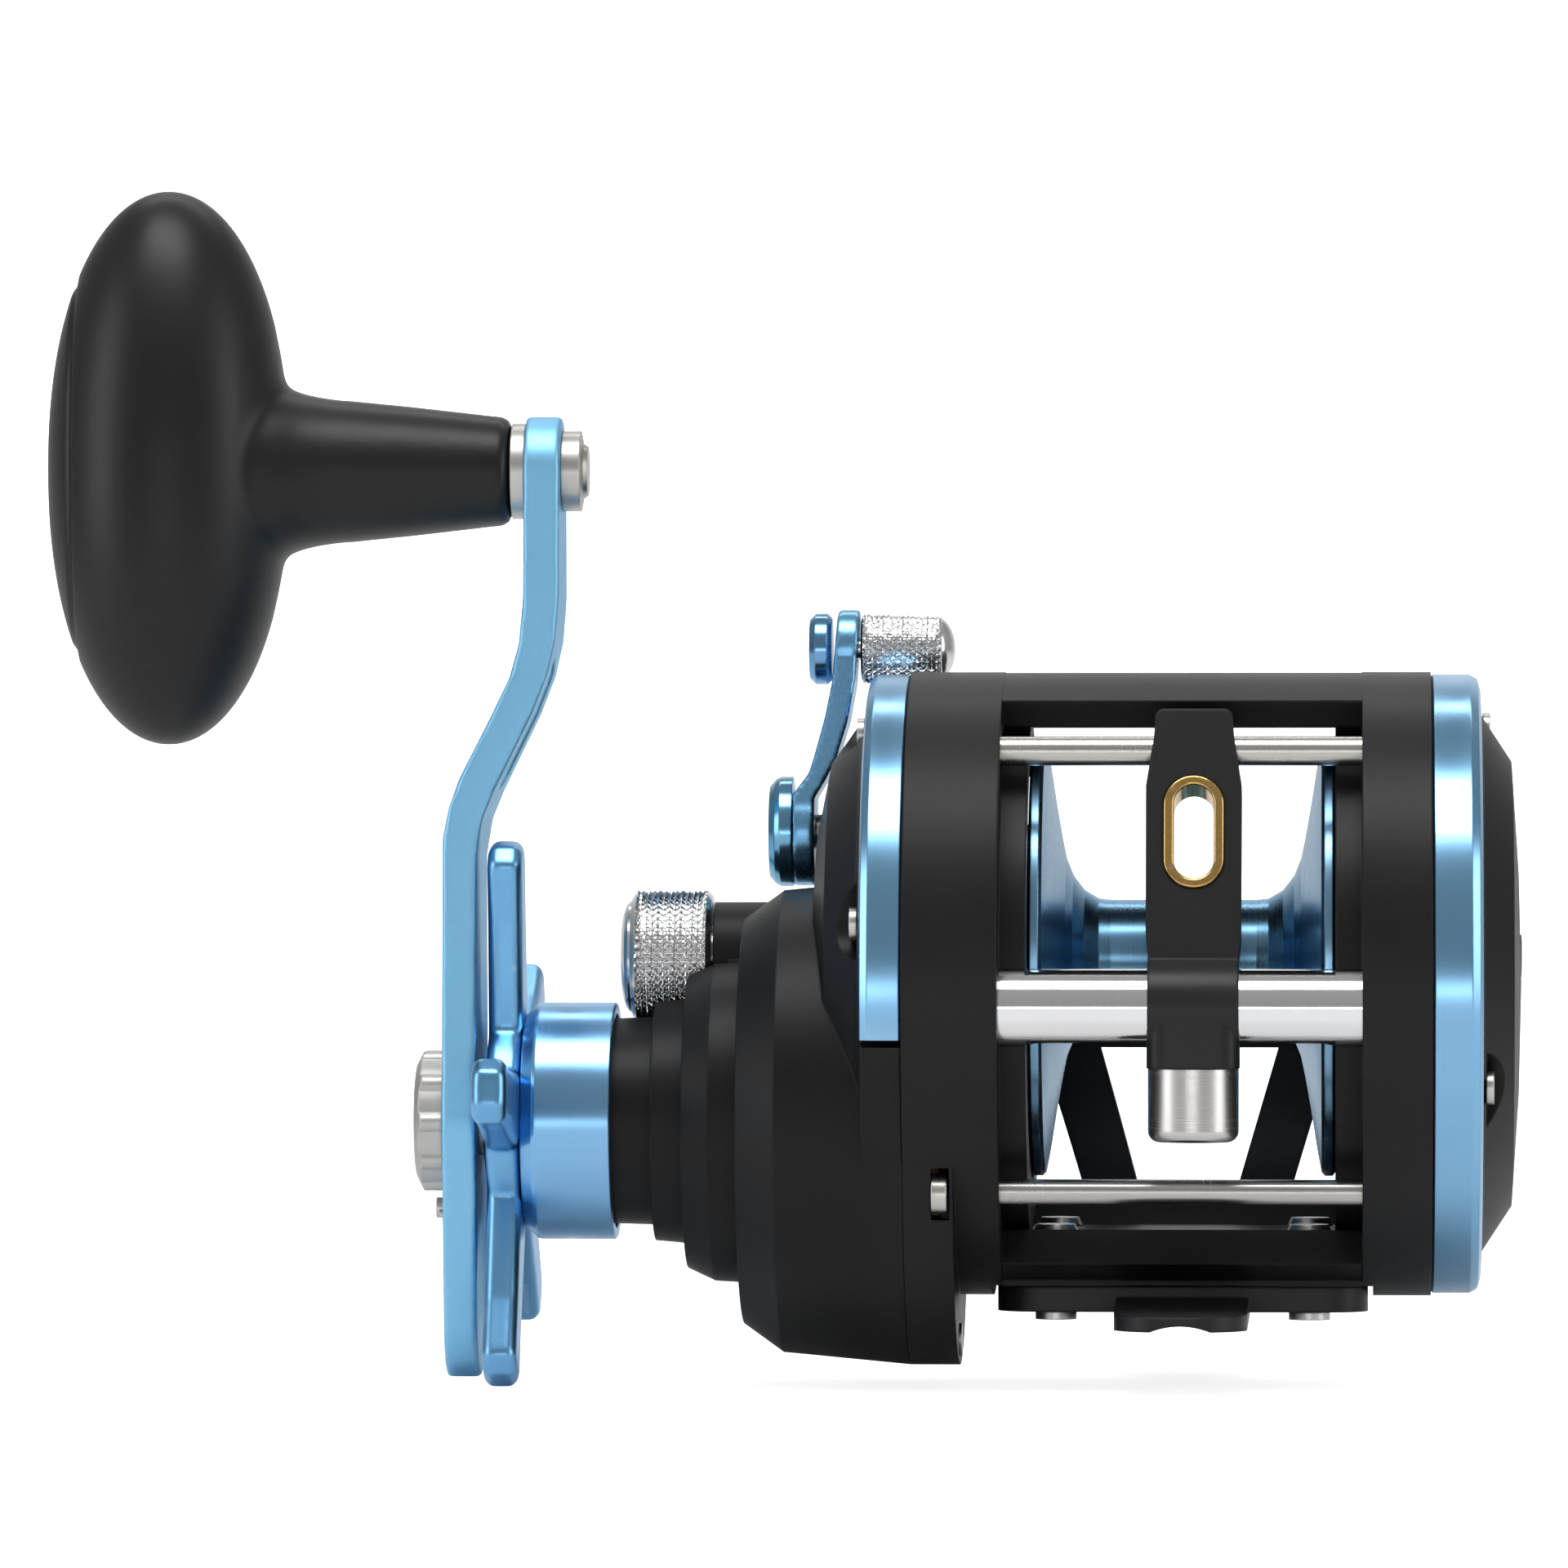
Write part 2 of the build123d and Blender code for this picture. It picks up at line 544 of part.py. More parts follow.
# pin whose top is cut away on two sides to leave a tongue
with BuildPart() as pawl:
    post(WORM[1] - 10.2, 6.9, PAWL_R, CARRIAGE)
    with BuildSketch(Plane.XY.offset(WORM[1] - 3.9)) as tongue_sides:
        with Locations((CARRIAGE_X, WORM[0] - 1.1), (CARRIAGE_X, WORM[0] + 1.1)):
            Rectangle(4, 1.0)
    extrude(tongue_sides.sketch, amount=2, mode=CUT)
save(pawl, "pawl")

# ================================================================ spool
# -X half of the spool, (x, radius), from the bore over the flange to the barrel
SPOOL_HALF = [
    (-19.6, SPOOL_SHAFT_R + SNUG), (-19.6, 5.2), (-17.6, 9.0), (-17.7, 24.8), (-17.7, 25.2),
    (-17.4, 25.6), (-16.5, 25.6), (-16.1, 25.2), (-15.6, 22.5), (-14.9, 18.0), (-14.2, 14.0),
    (-13.7, 11.6), (-12.9, 9.6), (-11.6, 7.9), (-9.9, 6.9), (-8.5, 6.75),
]
CLUTCH_PIN = [(-26.9, SPOOL[0])]      # (x, y)
CLUTCH_PIN_R = 0.6

with BuildPart() as spool:
    turned(SPOOL_HALF + [(-x, r) for x, r in reversed(SPOOL_HALF)], SPOOL)
save(spool, "spool")

with BuildPart() as spool_shaft:
    turned([(-54.0, 0), (-54.0, 1.3), (-53.6, SPOOL_END_R), (-24.6, SPOOL_END_R),
            (-24.6, SPOOL_SHAFT_R), (24.2, SPOOL_SHAFT_R), (24.2, SPOOL_END_R),
            (29.6, SPOOL_END_R), (29.9, 1.3), (29.9, 0)], SPOOL)
    post(SPOOL[1] - 4, 8, CLUTCH_PIN_R + SNUG, CLUTCH_PIN, CUT)
save(spool_shaft, "spool_shaft")

with BuildPart() as clutch_pin:
    post(SPOOL[1] - 2.8, 5.6, CLUTCH_PIN_R, CLUTCH_PIN)
save(clutch_pin, "clutch_pin")

with BuildPart() as spool_gear:
    gear(*TRAIN_X, SPOOL_TEETH, SPOOL_PHASE, SPOOL, SPOOL_END_R + SNUG)
save(spool_gear, "spool_gear")

with BuildPart() as click_gear:
    star = [polar(4.6 if k % 2 else 3.7, pi * k / 12) for k in range(24)]
    toothed(27.6, 29.0, star, SPOOL, SPOOL_END_R + SNUG)
save(click_gear, "click_gear")

# outer and inner race at each end of the spool
with BuildPart() as spool_bearing_races:
    for x0, x1 in ((-23.75, -20.85), (20.85, 23.75)):
        disc(x0, x1, RACE_R - SNUG, SPOOL, hole=4.45)
        disc(x0, x1, 3.55, SPOOL, hole=SPOOL_SHAFT_R + SNUG)
save(spool_bearing_races, "spool_bearing_races")

with BuildPart() as spool_bearing_balls:
    for x in (-22.3, 22.3):
        for place in pitch_circle(7, 4.0, SPOOL):
            with Locations((x, *place)):
                Sphere(0.44)
save(spool_bearing_balls, "spool_bearing_balls")

# ================================================================ drive
DRIVE_BORE = DRIVE_R + SNUG
DRIVE_END_R = 3.0         # outer end of the drive shaft, inside the handle nut

with BuildPart() as drive_shaft:
    turned([(-89.2, 0), (-89.2, 2.6), (-88.8, DRIVE_END_R), (-86.0, DRIVE_END_R),
            (-86.0, DRIVE_R), (-66.6, DRIVE_R), (-66.6, BUSHED_R), (-48.5, BUSHED_R),
            (-48.5, DRIVE_R), (-25.8, DRIVE_R), (-25.8, DRIVE_TIP_R), (-22.1, DRIVE_TIP_R),
            (-22.1, 0)], DRIVE)
save(drive_shaft, "drive_shaft")

with BuildPart() as drive_bushing:
    disc(-66.8, -49.3, BUSHING_R - 0.03, DRIVE, hole=BUSHED_R + RUNNING)
save(drive_bushing, "drive_bushing")

with BuildPart() as main_gear:
    gear(-31.0, -28.0, MAIN_TEETH, MAIN_PHASE, DRIVE, DRIVE_BORE,
         addendum=0.6, root=1.0, thinning=0.07)
    for place in pitch_circle(6, 13.3, DRIVE, turn=0.5):
        bore(-32, -27, 2.2, place)
save(main_gear, "main_gear")

with BuildPart() as drag_fibre_washers:
    for x in (-32.1, -34.5, -36.9):
        disc(x, x + 1.05, 10.5, DRIVE, hole=DRIVE_BORE)
save(drag_fibre_washers, "drag_fibre_washers")

with BuildPart() as drag_metal_washers:
    for x, thickness in ((-33.3, 1.1), (-35.7, 1.1), (-38.6, 1.6)):
        disc(x, x + thickness, 10.2, DRIVE, hole=DRIVE_BORE)
save(drag_metal_washers, "drag_metal_washers")

with BuildPart() as drag_spring_washer:
    turned([(-41.6, 4.1), (-41.6, 5.0), (-40.2, 8.0), (-38.7, 8.0), (-38.7, 7.2),
            (-39.9, 7.2), (-40.9, 4.1)], DRIVE)
save(drag_spring_washer, "drag_spring_washer")

with BuildPart() as ratchet:
    saw_teeth = []
    for k in range(12):
        angle = 2 * pi * k / 12
        saw_teeth += [polar(9.2, angle), polar(7.4, angle + 0.06)]
    toothed(-27.7, -26.1, saw_teeth, DRIVE, DRIVE_BORE)
save(ratchet, "ratchet")

with BuildPart() as anti_reverse_dog:
    disc(-27.6, -26.2, 2.4, DOG)
    prism(-27.6, -26.2, moved([(-1.0, 2.1), (-6.9, 4.6), (-7.0, 3.2), (-1.8, -0.8)], DOG))
    bore(-28.5, -26.0, POST_R + RUNNING, DOG)
save(anti_reverse_dog, "anti_reverse_dog")

with BuildPart() as dog_stud:
    disc(-27.7, -24.1, POST_R, DOG)
    disc(-27.96, -27.63, 1.9, DOG)
save(dog_stud, "dog_stud")

# toothed barrel with a grooved collar for the yoke and a slot for the clutch pin
with BuildPart() as pinion:
    gear(-35.0, -27.9, PINION_TEETH, PINION_PHASE, SPOOL,
         addendum=0.88, root=0.74, thinning=0.09)
    disc(-27.9, -26.2, 2.85, SPOOL)
    turned([(-41.0, 0), (-41.0, 4.3), (-38.9, 4.3), (-38.9, 3.0), (-36.9, 3.0),
            (-36.9, 4.3), (-35.0, 4.3), (-35.0, 0)], SPOOL)
    bore(-43, -26, SPOOL_END_R + RUNNING, SPOOL)
    block(-27.6, -25.6, SPOOL, 1.5, 9, CUT)
save(pinion, "pinion")

with BuildPart() as bridge_plate:
    with BuildSketch(plane_x(-25.5)) as bridge_sketch:
        with Locations((SPOOL[0], SPOOL[1] - 4)):
            RectangleRounded(30, 18, 5)
        with Locations((DRIVE[0] + 4, DRIVE[1] + 3)):
            RectangleRounded(27, 24, 6)
        with Locations(SPOOL):
            Circle(4.6, mode=CUT)
        with Locations(DRIVE):
            Circle(4.5, mode=CUT)
        with Locations(*POSTS, DOG):
            Circle(POST_R + SNUG, mode=CUT)
        with Locations(*moved([(-12.5, -9), (12.5, -9)], SPOOL)):
            Circle(1.0, mode=CUT)
    extrude(bridge_sketch.sketch, amount=1.5)
save(bridge_plate, "bridge_plate")

# the front post is the longer one
with BuildPart() as yoke_posts:
    for outer_x, place in zip((-44.5, -40.6), POSTS):
        disc(outer_x, -22.7, POST_R, place)
save(yoke_posts, "yoke_posts")

# plate that straddles the pinion collar, open at the bottom
with BuildPart() as yoke:
    with BuildSketch(plane_x(-38.7)) as yoke_sketch:
        with Locations((SPOOL[0], SPOOL[1] + 1.2)):
            RectangleRounded(25.5, 7.6, 2.4)
        with Locations(SPOOL):
            Circle(3.1, mode=CUT)
        with Locations((SPOOL[0], SPOOL[1] - 4)):
            Rectangle(6.2, 8, mode=CUT)
        with Locations(*POSTS):
            Circle(POST_R + 0.06, mode=CUT)
    extrude(yoke_sketch.sketch, amount=1.6)
save(yoke, "yoke")

with BuildPart() as tension_knob:
    turned([(-65.9, 0), (-65.9, 5.6), (-65.4, 6.3), (-64.8, 6.6), (-64.8, 7.2), (-64.2, 7.8),
            (-55.8, 7.8), (-55.2, 7.2), (-55.2, 3.94), (-50.0, 3.94), (-50.0, 1.9),
            (-57.0, 1.9), (-57.0, 0)], SPOOL)
save(tension_knob, "tension_knob")

# ================================================================ star drag
STAR_X = (-80.9, -76.8)
# One side of a star arm, (distance from the drive axis, half width)
STAR_ARM = [(6, 5.2), (14, 4.5), (24, 3.7), (31.2, 3.8), (33.0, 2.0)]

with BuildPart() as star_wheel:
    disc(*STAR_X, 12.5, DRIVE)
    for k in range(5):
        angle = radians(100 + 72 * k)
        arm = [(r, -w) for r, w in STAR_ARM] + STAR_ARM[::-1]
        prism(*STAR_X, moved([(r * cos(angle) - w * sin(angle),
                               r * sin(angle) + w * cos(angle)) for r, w in arm], DRIVE))
    chamfer(star_wheel.faces().group_by(Axis.X)[0].edges(), 0.8)
    chamfer(star_wheel.faces().group_by(Axis.X)[-1].edges(), 0.8)
    # hub
    turned([(-81.5, 0), (-81.5, 6.6), (-80.8, 7.6), (-76.8, 7.6), (-76.8, 0)], DRIVE)
    bore(-82, -76, DRIVE_R + RUNNING, DRIVE)
save(star_wheel, "star_wheel")

with BuildPart() as star_sleeve:
    sleeve_bore = DRIVE_R + RUNNING
    turned([(-76.75, sleeve_bore), (-76.75, 12.4), (-75.4, 13.7), (-75.0, 13.85),
            (-66.4, 13.85), (-66.2, 13.65), (-66.2, 12.6), (-68.4, 12.5),
            (-68.4, sleeve_bore)], DRIVE)
save(star_sleeve, "star_sleeve")

# ================================================================ handle
# Arm seen along Y, cranked outwards at the drive shaft: (x, z from the ring centre)
ARM_SIDE = [
    (-86.1, -46.1), (-86.1, 17.0), (-85.4, 20.5), (-84.2, 23.9), (-80.6, 31.0), (-78.4, 35.6),
    (-77.3, 39.5), (-76.8, 45.0), (-76.8, 66.4), (-72.6, 66.4), (-72.6, 45.0), (-73.0, 40.0),
    (-73.9, 36.0), (-75.6, 31.6), (-80.1, 22.4), (-81.4, 19.2), (-82.1, 15.0), (-82.1, -46.1),
]
ARM_TIP, ARM_TAIL = 75.8, -23.3       # centres of the round ends, z from the drive axis
# Arm seen along X, (y, z) from the drive axis
ARM_PLAN = [(-6.6, ARM_TIP), (6.6, ARM_TIP), (9.7, 1.2), (9.5, -2.4),
            (6.7, ARM_TAIL), (-6.7, ARM_TAIL), (-9.5, -2.4), (-9.7, 1.2)]
ARM_ROUNDS = [(DRIVE, 9.8), ((DRIVE[0], DRIVE[1] + ARM_TIP), 6.6),
              ((DRIVE[0], DRIVE[1] + ARM_TAIL), 6.7)]

with BuildPart() as handle_arm:
    extrude_outlines(plane_y(30), 60, [moved(ARM_SIDE, RING)])
    crop_to_plan(-90, -60, ARM_ROUNDS, moved(ARM_PLAN, DRIVE))
    bore(-90, -80, DRIVE_BORE, DRIVE)
    bore(-80, -70, KNOB_PIN_R + SNUG, KNOB)
    cut_slot(plane_x(-90, (DRIVE[0], RING_Z + 30.5)), 20, 15.0, 5.0, rotation=90)
save(handle_arm, "handle_arm")

# lobed nut with its outer rim bevelled
with BuildPart() as handle_nut:
    with BuildSketch(plane_x(-89.6, DRIVE)) as nut_sketch:
        Circle(7.9)
        with PolarLocations(7.3, 10):
            Circle(1.2)
    extrude(nut_sketch.sketch, amount=3.45)
    turned([(-90.4, 8.6), (-89.9, 8.6), (-88.6, 8.6), (-89.62, 6.6), (-89.62, 6.4),
            (-90.4, 6.4)], DRIVE, CUT)
    bore(-90, -86, DRIVE_END_R + SNUG, DRIVE)
save(handle_nut, "handle_nut")

with BuildPart() as nut_keeper_screw:
    disc(-87.4, -86.12, 1.2, (DRIVE[0], DRIVE[1] - 10.2))
    with BuildSketch(plane_x(-87.0)) as keeper_sketch:
        with Locations((DRIVE[0], DRIVE[1] - 10.9)):
            RectangleRounded(3.4, 0.9, 0.4)
    extrude(keeper_sketch.sketch, amount=0.8)
save(nut_keeper_screw, "nut_keeper_screw")

with BuildPart() as knob_spindle:
    disc(-116.0, -71.9, KNOB_PIN_R, KNOB)
    turned([(-72.55, 0), (-72.55, 4.7), (-70.4, 4.7), (-70.1, 3.2), (-69.6, 2.9),
            (-69.6, 0)], KNOB)
save(knob_spindle, "knob_spindle")

with BuildPart() as knob_washer:
    disc(-78.45, -76.85, 5.6, KNOB, hole=KNOB_PIN_R + SNUG)
save(knob_washer, "knob_washer")

GRIP_X = -118.9           # upright axis of the knob's grip
GRIP_Z = RING_Z + 60.35   # height of the grip's middle
GRIP_R = 14.2
GRIP_HALF = 32.45         # half the grip's height


def knob_grip():
    """Superellipse turned about an upright axis."""
    sines = [sin(radians(90 - 7.5 * k)) for k in range(25)]
    curve = [(GRIP_R * max(0.0, 1 - abs(s) ** 2.18) ** (1 / 2.02), GRIP_Z + GRIP_HALF * s)
             for s in sines]
    plane = Plane(origin=(GRIP_X, KNOB[0], 0), x_dir=(1, 0, 0), z_dir=(0, -1, 0))
    with BuildSketch(plane) as sketch:
        with BuildLine():
            Spline(*curve, tangents=((1, 0), (-1, 0)))
            Line((0, GRIP_Z - GRIP_HALF), (0, GRIP_Z + GRIP_HALF))
        make_face()
    revolve(sketch.sketch, axis=Axis((GRIP_X, KNOB[0], 0), (0, 0, 1)))


# The grip is split across X: the knob keeps the inner part, the cap is the outer slice.
SPLIT_X = -130.0
SPLIT_CENTRE = (KNOB[0], RING_Z + 60)
with BuildPart() as handle_knob:
    knob_grip()
    # stem towards the arm
    turned([(GRIP_X, 0), (GRIP_X, 12.5), (-105.5, 11.6), (-103.2, 9.4), (-100.5, 8.5),
            (-96.0, 8.0), (-79.4, 6.2), (-78.6, 5.4), (-78.6, 0)], KNOB)
    bore(-117, -78, KNOB_PIN_R + RUNNING, KNOB)
    block(SPLIT_X - 10, SPLIT_X, SPLIT_CENTRE, 60, 90, CUT)
save(handle_knob, "handle_knob")

with BuildPart() as knob_end_cap:
    knob_grip()
    block(SPLIT_X - 0.02, SPLIT_X + 39.98, SPLIT_CENTRE, 60, 90, CUT)
save(knob_end_cap, "knob_end_cap")

# ================================================================ clutch lever
# Lever seen along Y, (x, z from the ring centre)
LEVER_SIDE = [
    (-46.1, 11.2), (-46.1, 22.0), (-44.2, 24.6), (-43.6, 26.6), (-42.4, 31.2), (-41.6, 35.4),
    (-41.0, 43.9), (-38.4, 43.9), (-38.9, 35.2), (-39.7, 30.6), (-41.0, 26.2), (-42.2, 23.8),
    (-43.5, 21.6), (-43.5, 11.2),
]
# Sides of the lever seen along X, (y, z)
LEVER_PLAN = [(LEVER[0] - 5.6, LEVER[1] + 3.0), (GRIP[0] - 4.6, GRIP[1] - 0.9),
              (GRIP[0] + 4.6, GRIP[1] - 0.9), (LEVER[0] + 6.2, LEVER[1] + 1.5)]
PIVOT_R = 1.0

with BuildPart() as clutch_lever:
    extrude_outlines(plane_y(30), 60, [moved(LEVER_SIDE, RING)])
    crop_to_plan(-60, -30, [(LEVER, 6.4), (GRIP, 4.7)], LEVER_PLAN)
    bore(-47, -37, PIVOT_R + SNUG, LEVER)
    bore(-43, -36, 1.4, GRIP)
save(clutch_lever, "clutch_lever")

with BuildPart() as lever_pivot_cap:
    turned([(-48.9, 0), (-48.9, 5.4), (-48.2, 6.2), (-47.6, 6.5), (-46.15, 6.5),
            (-46.15, 0)], LEVER)
    disc(-46.2, -43.5, PIVOT_R, LEVER)
save(lever_pivot_cap, "lever_pivot_cap")

with BuildPart() as lever_cam:
    disc(-43.45, -38.6, 2.0, LEVER)
    prism(-39.6, -38.6, moved([(-2.4, 2.4), (2.4, 2.4), (1.6, -8.6), (-1.6, -8.6)], LEVER))
save(lever_cam, "lever_cam")

with BuildPart() as lever_grip:
    turned([(-38.3, 0), (-38.3, 3.7), (-37.9, 4.2), (-29.4, 3.75), (-28.5, 3.3),
            (-27.2, 1.9), (-27.2, 0)], GRIP)
    disc(-41.0, -38.2, 1.4 - SNUG, GRIP)
save(lever_grip, "lever_grip")

with BuildPart() as lever_grip_cap:
    turned([(-44.4, 0), (-44.4, 3.5), (-43.7, 4.2), (-42.3, 4.2), (-41.75, 3.7),
            (-41.75, 0)], GRIP)
save(lever_grip_cap, "lever_grip_cap")

# ================================================================ line click
with BuildPart() as click_button:
    disc(36.8, 39.25, 1.5, CLICK)
    disc(39.2, 39.7, 2.6, CLICK, taper=15)
    disc(35.0, 36.2, 2.6, CLICK)
    disc(36.1, 36.9, 1.5, CLICK)
save(click_button, "click_button")

with BuildPart() as click_tongue:
    prism(27.8, 28.8, moved([(1.5, 1.2), (-4.4, 0.5), (-4.4, -0.5), (1.5, -1.2)], CLICK))
    disc(28.7, 34.98, 1.2, CLICK)
save(click_tongue, "click_tongue")
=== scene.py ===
"""A baitcasting fishing reel on a white studio sweep.

The spool, shafts and rods lie parallel to x, with the crank handle out on the -x side.
The camera looks along +y, so -y is the front, and z is up. The CAD pieces are in metres.
Profiles and stations here are in millimetres and are scaled by MM.
"""

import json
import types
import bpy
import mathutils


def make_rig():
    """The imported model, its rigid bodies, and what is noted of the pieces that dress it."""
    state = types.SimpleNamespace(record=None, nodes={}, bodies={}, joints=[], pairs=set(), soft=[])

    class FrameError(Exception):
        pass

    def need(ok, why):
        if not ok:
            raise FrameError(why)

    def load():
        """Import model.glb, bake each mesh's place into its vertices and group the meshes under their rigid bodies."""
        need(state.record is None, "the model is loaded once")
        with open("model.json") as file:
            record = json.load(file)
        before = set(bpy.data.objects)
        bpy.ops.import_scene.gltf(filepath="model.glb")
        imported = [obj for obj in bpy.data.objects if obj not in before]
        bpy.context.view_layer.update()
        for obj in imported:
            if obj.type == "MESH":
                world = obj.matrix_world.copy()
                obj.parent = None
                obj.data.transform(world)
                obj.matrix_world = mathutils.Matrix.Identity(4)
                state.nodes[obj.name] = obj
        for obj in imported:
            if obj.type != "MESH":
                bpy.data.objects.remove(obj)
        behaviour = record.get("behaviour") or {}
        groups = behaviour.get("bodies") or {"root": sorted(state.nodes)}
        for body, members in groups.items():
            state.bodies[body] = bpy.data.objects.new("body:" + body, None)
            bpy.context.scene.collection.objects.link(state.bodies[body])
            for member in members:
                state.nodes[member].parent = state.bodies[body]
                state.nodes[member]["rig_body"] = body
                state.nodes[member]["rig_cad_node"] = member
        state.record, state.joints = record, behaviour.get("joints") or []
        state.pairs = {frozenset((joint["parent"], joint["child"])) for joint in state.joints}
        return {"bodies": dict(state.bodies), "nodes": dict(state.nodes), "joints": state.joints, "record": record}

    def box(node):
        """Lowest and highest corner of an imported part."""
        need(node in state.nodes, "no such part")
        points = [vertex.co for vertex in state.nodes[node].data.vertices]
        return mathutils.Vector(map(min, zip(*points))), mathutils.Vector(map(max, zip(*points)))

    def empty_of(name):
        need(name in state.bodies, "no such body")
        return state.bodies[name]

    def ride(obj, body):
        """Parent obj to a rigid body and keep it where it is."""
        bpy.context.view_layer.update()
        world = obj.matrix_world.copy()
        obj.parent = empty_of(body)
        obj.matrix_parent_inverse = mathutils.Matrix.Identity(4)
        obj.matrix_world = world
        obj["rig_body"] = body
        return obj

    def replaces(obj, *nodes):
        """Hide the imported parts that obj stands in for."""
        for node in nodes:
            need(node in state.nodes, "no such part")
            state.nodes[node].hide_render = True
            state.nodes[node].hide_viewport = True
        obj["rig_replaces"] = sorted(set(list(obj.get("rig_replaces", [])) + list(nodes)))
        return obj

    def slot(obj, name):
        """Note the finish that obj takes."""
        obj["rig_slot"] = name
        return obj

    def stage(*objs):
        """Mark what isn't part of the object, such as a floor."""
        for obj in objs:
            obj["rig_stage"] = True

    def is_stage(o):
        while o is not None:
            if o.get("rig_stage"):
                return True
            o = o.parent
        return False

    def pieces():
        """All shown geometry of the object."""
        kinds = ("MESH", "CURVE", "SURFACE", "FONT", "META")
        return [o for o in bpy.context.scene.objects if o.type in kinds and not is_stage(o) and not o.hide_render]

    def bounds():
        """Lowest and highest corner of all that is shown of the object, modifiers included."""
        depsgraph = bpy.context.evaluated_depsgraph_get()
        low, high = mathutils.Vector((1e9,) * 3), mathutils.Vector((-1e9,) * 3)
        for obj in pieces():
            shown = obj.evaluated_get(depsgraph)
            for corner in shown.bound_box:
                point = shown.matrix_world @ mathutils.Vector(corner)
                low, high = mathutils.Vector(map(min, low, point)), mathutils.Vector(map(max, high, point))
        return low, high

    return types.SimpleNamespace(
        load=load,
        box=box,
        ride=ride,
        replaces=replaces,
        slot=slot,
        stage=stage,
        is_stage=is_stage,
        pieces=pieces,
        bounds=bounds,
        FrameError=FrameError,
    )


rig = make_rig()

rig.load()
import bpy, bmesh, json
from mathutils import Vector
from math import sin, cos, pi, radians, hypot

CAD_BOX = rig.bounds()
MM = 0.001


def axis_of(piece):
    """(y, z) of the x-parallel line through the middle of a CAD piece, in metres."""
    lo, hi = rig.box(piece)
    return ((lo[1] + hi[1]) / 2, (lo[2] + hi[2]) / 2)


SPOOL_AXIS = axis_of("spool")
DRIVE_AXIS = axis_of("drive_shaft")
KNOB_AXIS = axis_of("knob_washer")
GRIP_AXIS = axis_of("lever_grip")
LEVER_AXIS = axis_of("lever_pivot_cap")
RING_AXIS = axis_of("palm_side_ring")


# ------------------------------------------------------------ shader graphs
class Graph:
    """An emptied node tree, with one short call for each kind of node used here."""

    def __init__(self, owner):
        owner.use_nodes = True
        self.tree = owner.node_tree
        self.tree.nodes.clear()

    def add(self, kind, inputs=None, **settings):
        node = self.tree.nodes.new(kind)
        for key, value in settings.items():
            setattr(node, key, value)
        self.fill(node, inputs or {})
        return node

    def fill(self, node, inputs):
        """Link or set inputs by name or index; an RGB tuple gets an alpha of 1."""
        for key, value in inputs.items():
            if isinstance(value, bpy.types.NodeSocket):
                self.tree.links.new(value, node.inputs[key])
            elif isinstance(value, tuple):
                node.inputs[key].default_value = (*value, 1)
            else:
                node.inputs[key].default_value = value

    def coordinates(self, space="Object"):
        return self.add("ShaderNodeTexCoord").outputs[space]

    def split(self, vector):
        return self.add("ShaderNodeSeparateXYZ", {0: vector}).outputs

    def math(self, operation, *values):
        inputs = dict(enumerate(values))
        return self.add("ShaderNodeMath", inputs, operation=operation).outputs[0]

    def vary(self, source, by, base):
        """base + source * by"""
        return self.math("MULTIPLY_ADD", source, by, base)

    def mix(self, factor, first, second):
        inputs = {0: factor, 6: first, 7: second}
        return self.add("ShaderNodeMix", inputs, data_type="RGBA").outputs[2]

    def ramp(self, factor, stops):
        node = self.add("ShaderNodeValToRGB", {0: factor})
        elements = node.color_ramp.elements
        while len(elements) < len(stops):
            elements.new(0.5)
        for element, (position, colour) in zip(elements, stops):
            element.position = position
            element.color = (*colour, 1)
        return node.outputs[0]

    def noise(self, vector, scale, detail, rough):
        inputs = {"Scale": scale, "Detail": detail, "Roughness": rough, "Vector": vector}
        return self.add("ShaderNodeTexNoise", inputs).outputs["Fac"]

    def lines(self, coordinate, per_metre):
        """Noise that changes along one coordinate only, like lathe lines."""
        spread = self.math("MULTIPLY", coordinate, per_metre)
        vector = self.add("ShaderNodeCombineXYZ", {0: spread}).outputs[0]
        return self.noise(vector, scale=1.0, detail=3, rough=0.7)

    def painted_edge_highlight(self, amount):
        """Mask that rises to amount on convex edges, where a highlight is painted into the colour."""
        pointiness = self.add("ShaderNodeNewGeometry").outputs["Pointiness"]
        mask = self.ramp(pointiness, [(0.52, (0, 0, 0)), (0.62, (1, 1, 1))])
        return self.math("MULTIPLY", mask, amount)

    def bump(self, height, strength, distance, bevel=0.0):
        """Bumped normal; a bevel radius in metres also rounds the edges in shading."""
        inputs = {"Strength": strength, "Distance": distance, "Height": height}
        if bevel:
            rounded = self.add("ShaderNodeBevel", {"Radius": bevel}, samples=6)
            inputs["Normal"] = rounded.outputs[0]
        return self.add("ShaderNodeBump", inputs).outputs[0]


def new_material(name):
    material = bpy.data.materials.new(name)
    graph = Graph(material)
    output = graph.add("ShaderNodeOutputMaterial")
    shader = graph.add("ShaderNodeBsdfPrincipled")
    graph.fill(output, {0: shader.outputs[0]})
    return material, graph, shader


def scaled(colour, factor):
    return tuple(min(1.0, channel * factor) for channel in colour)


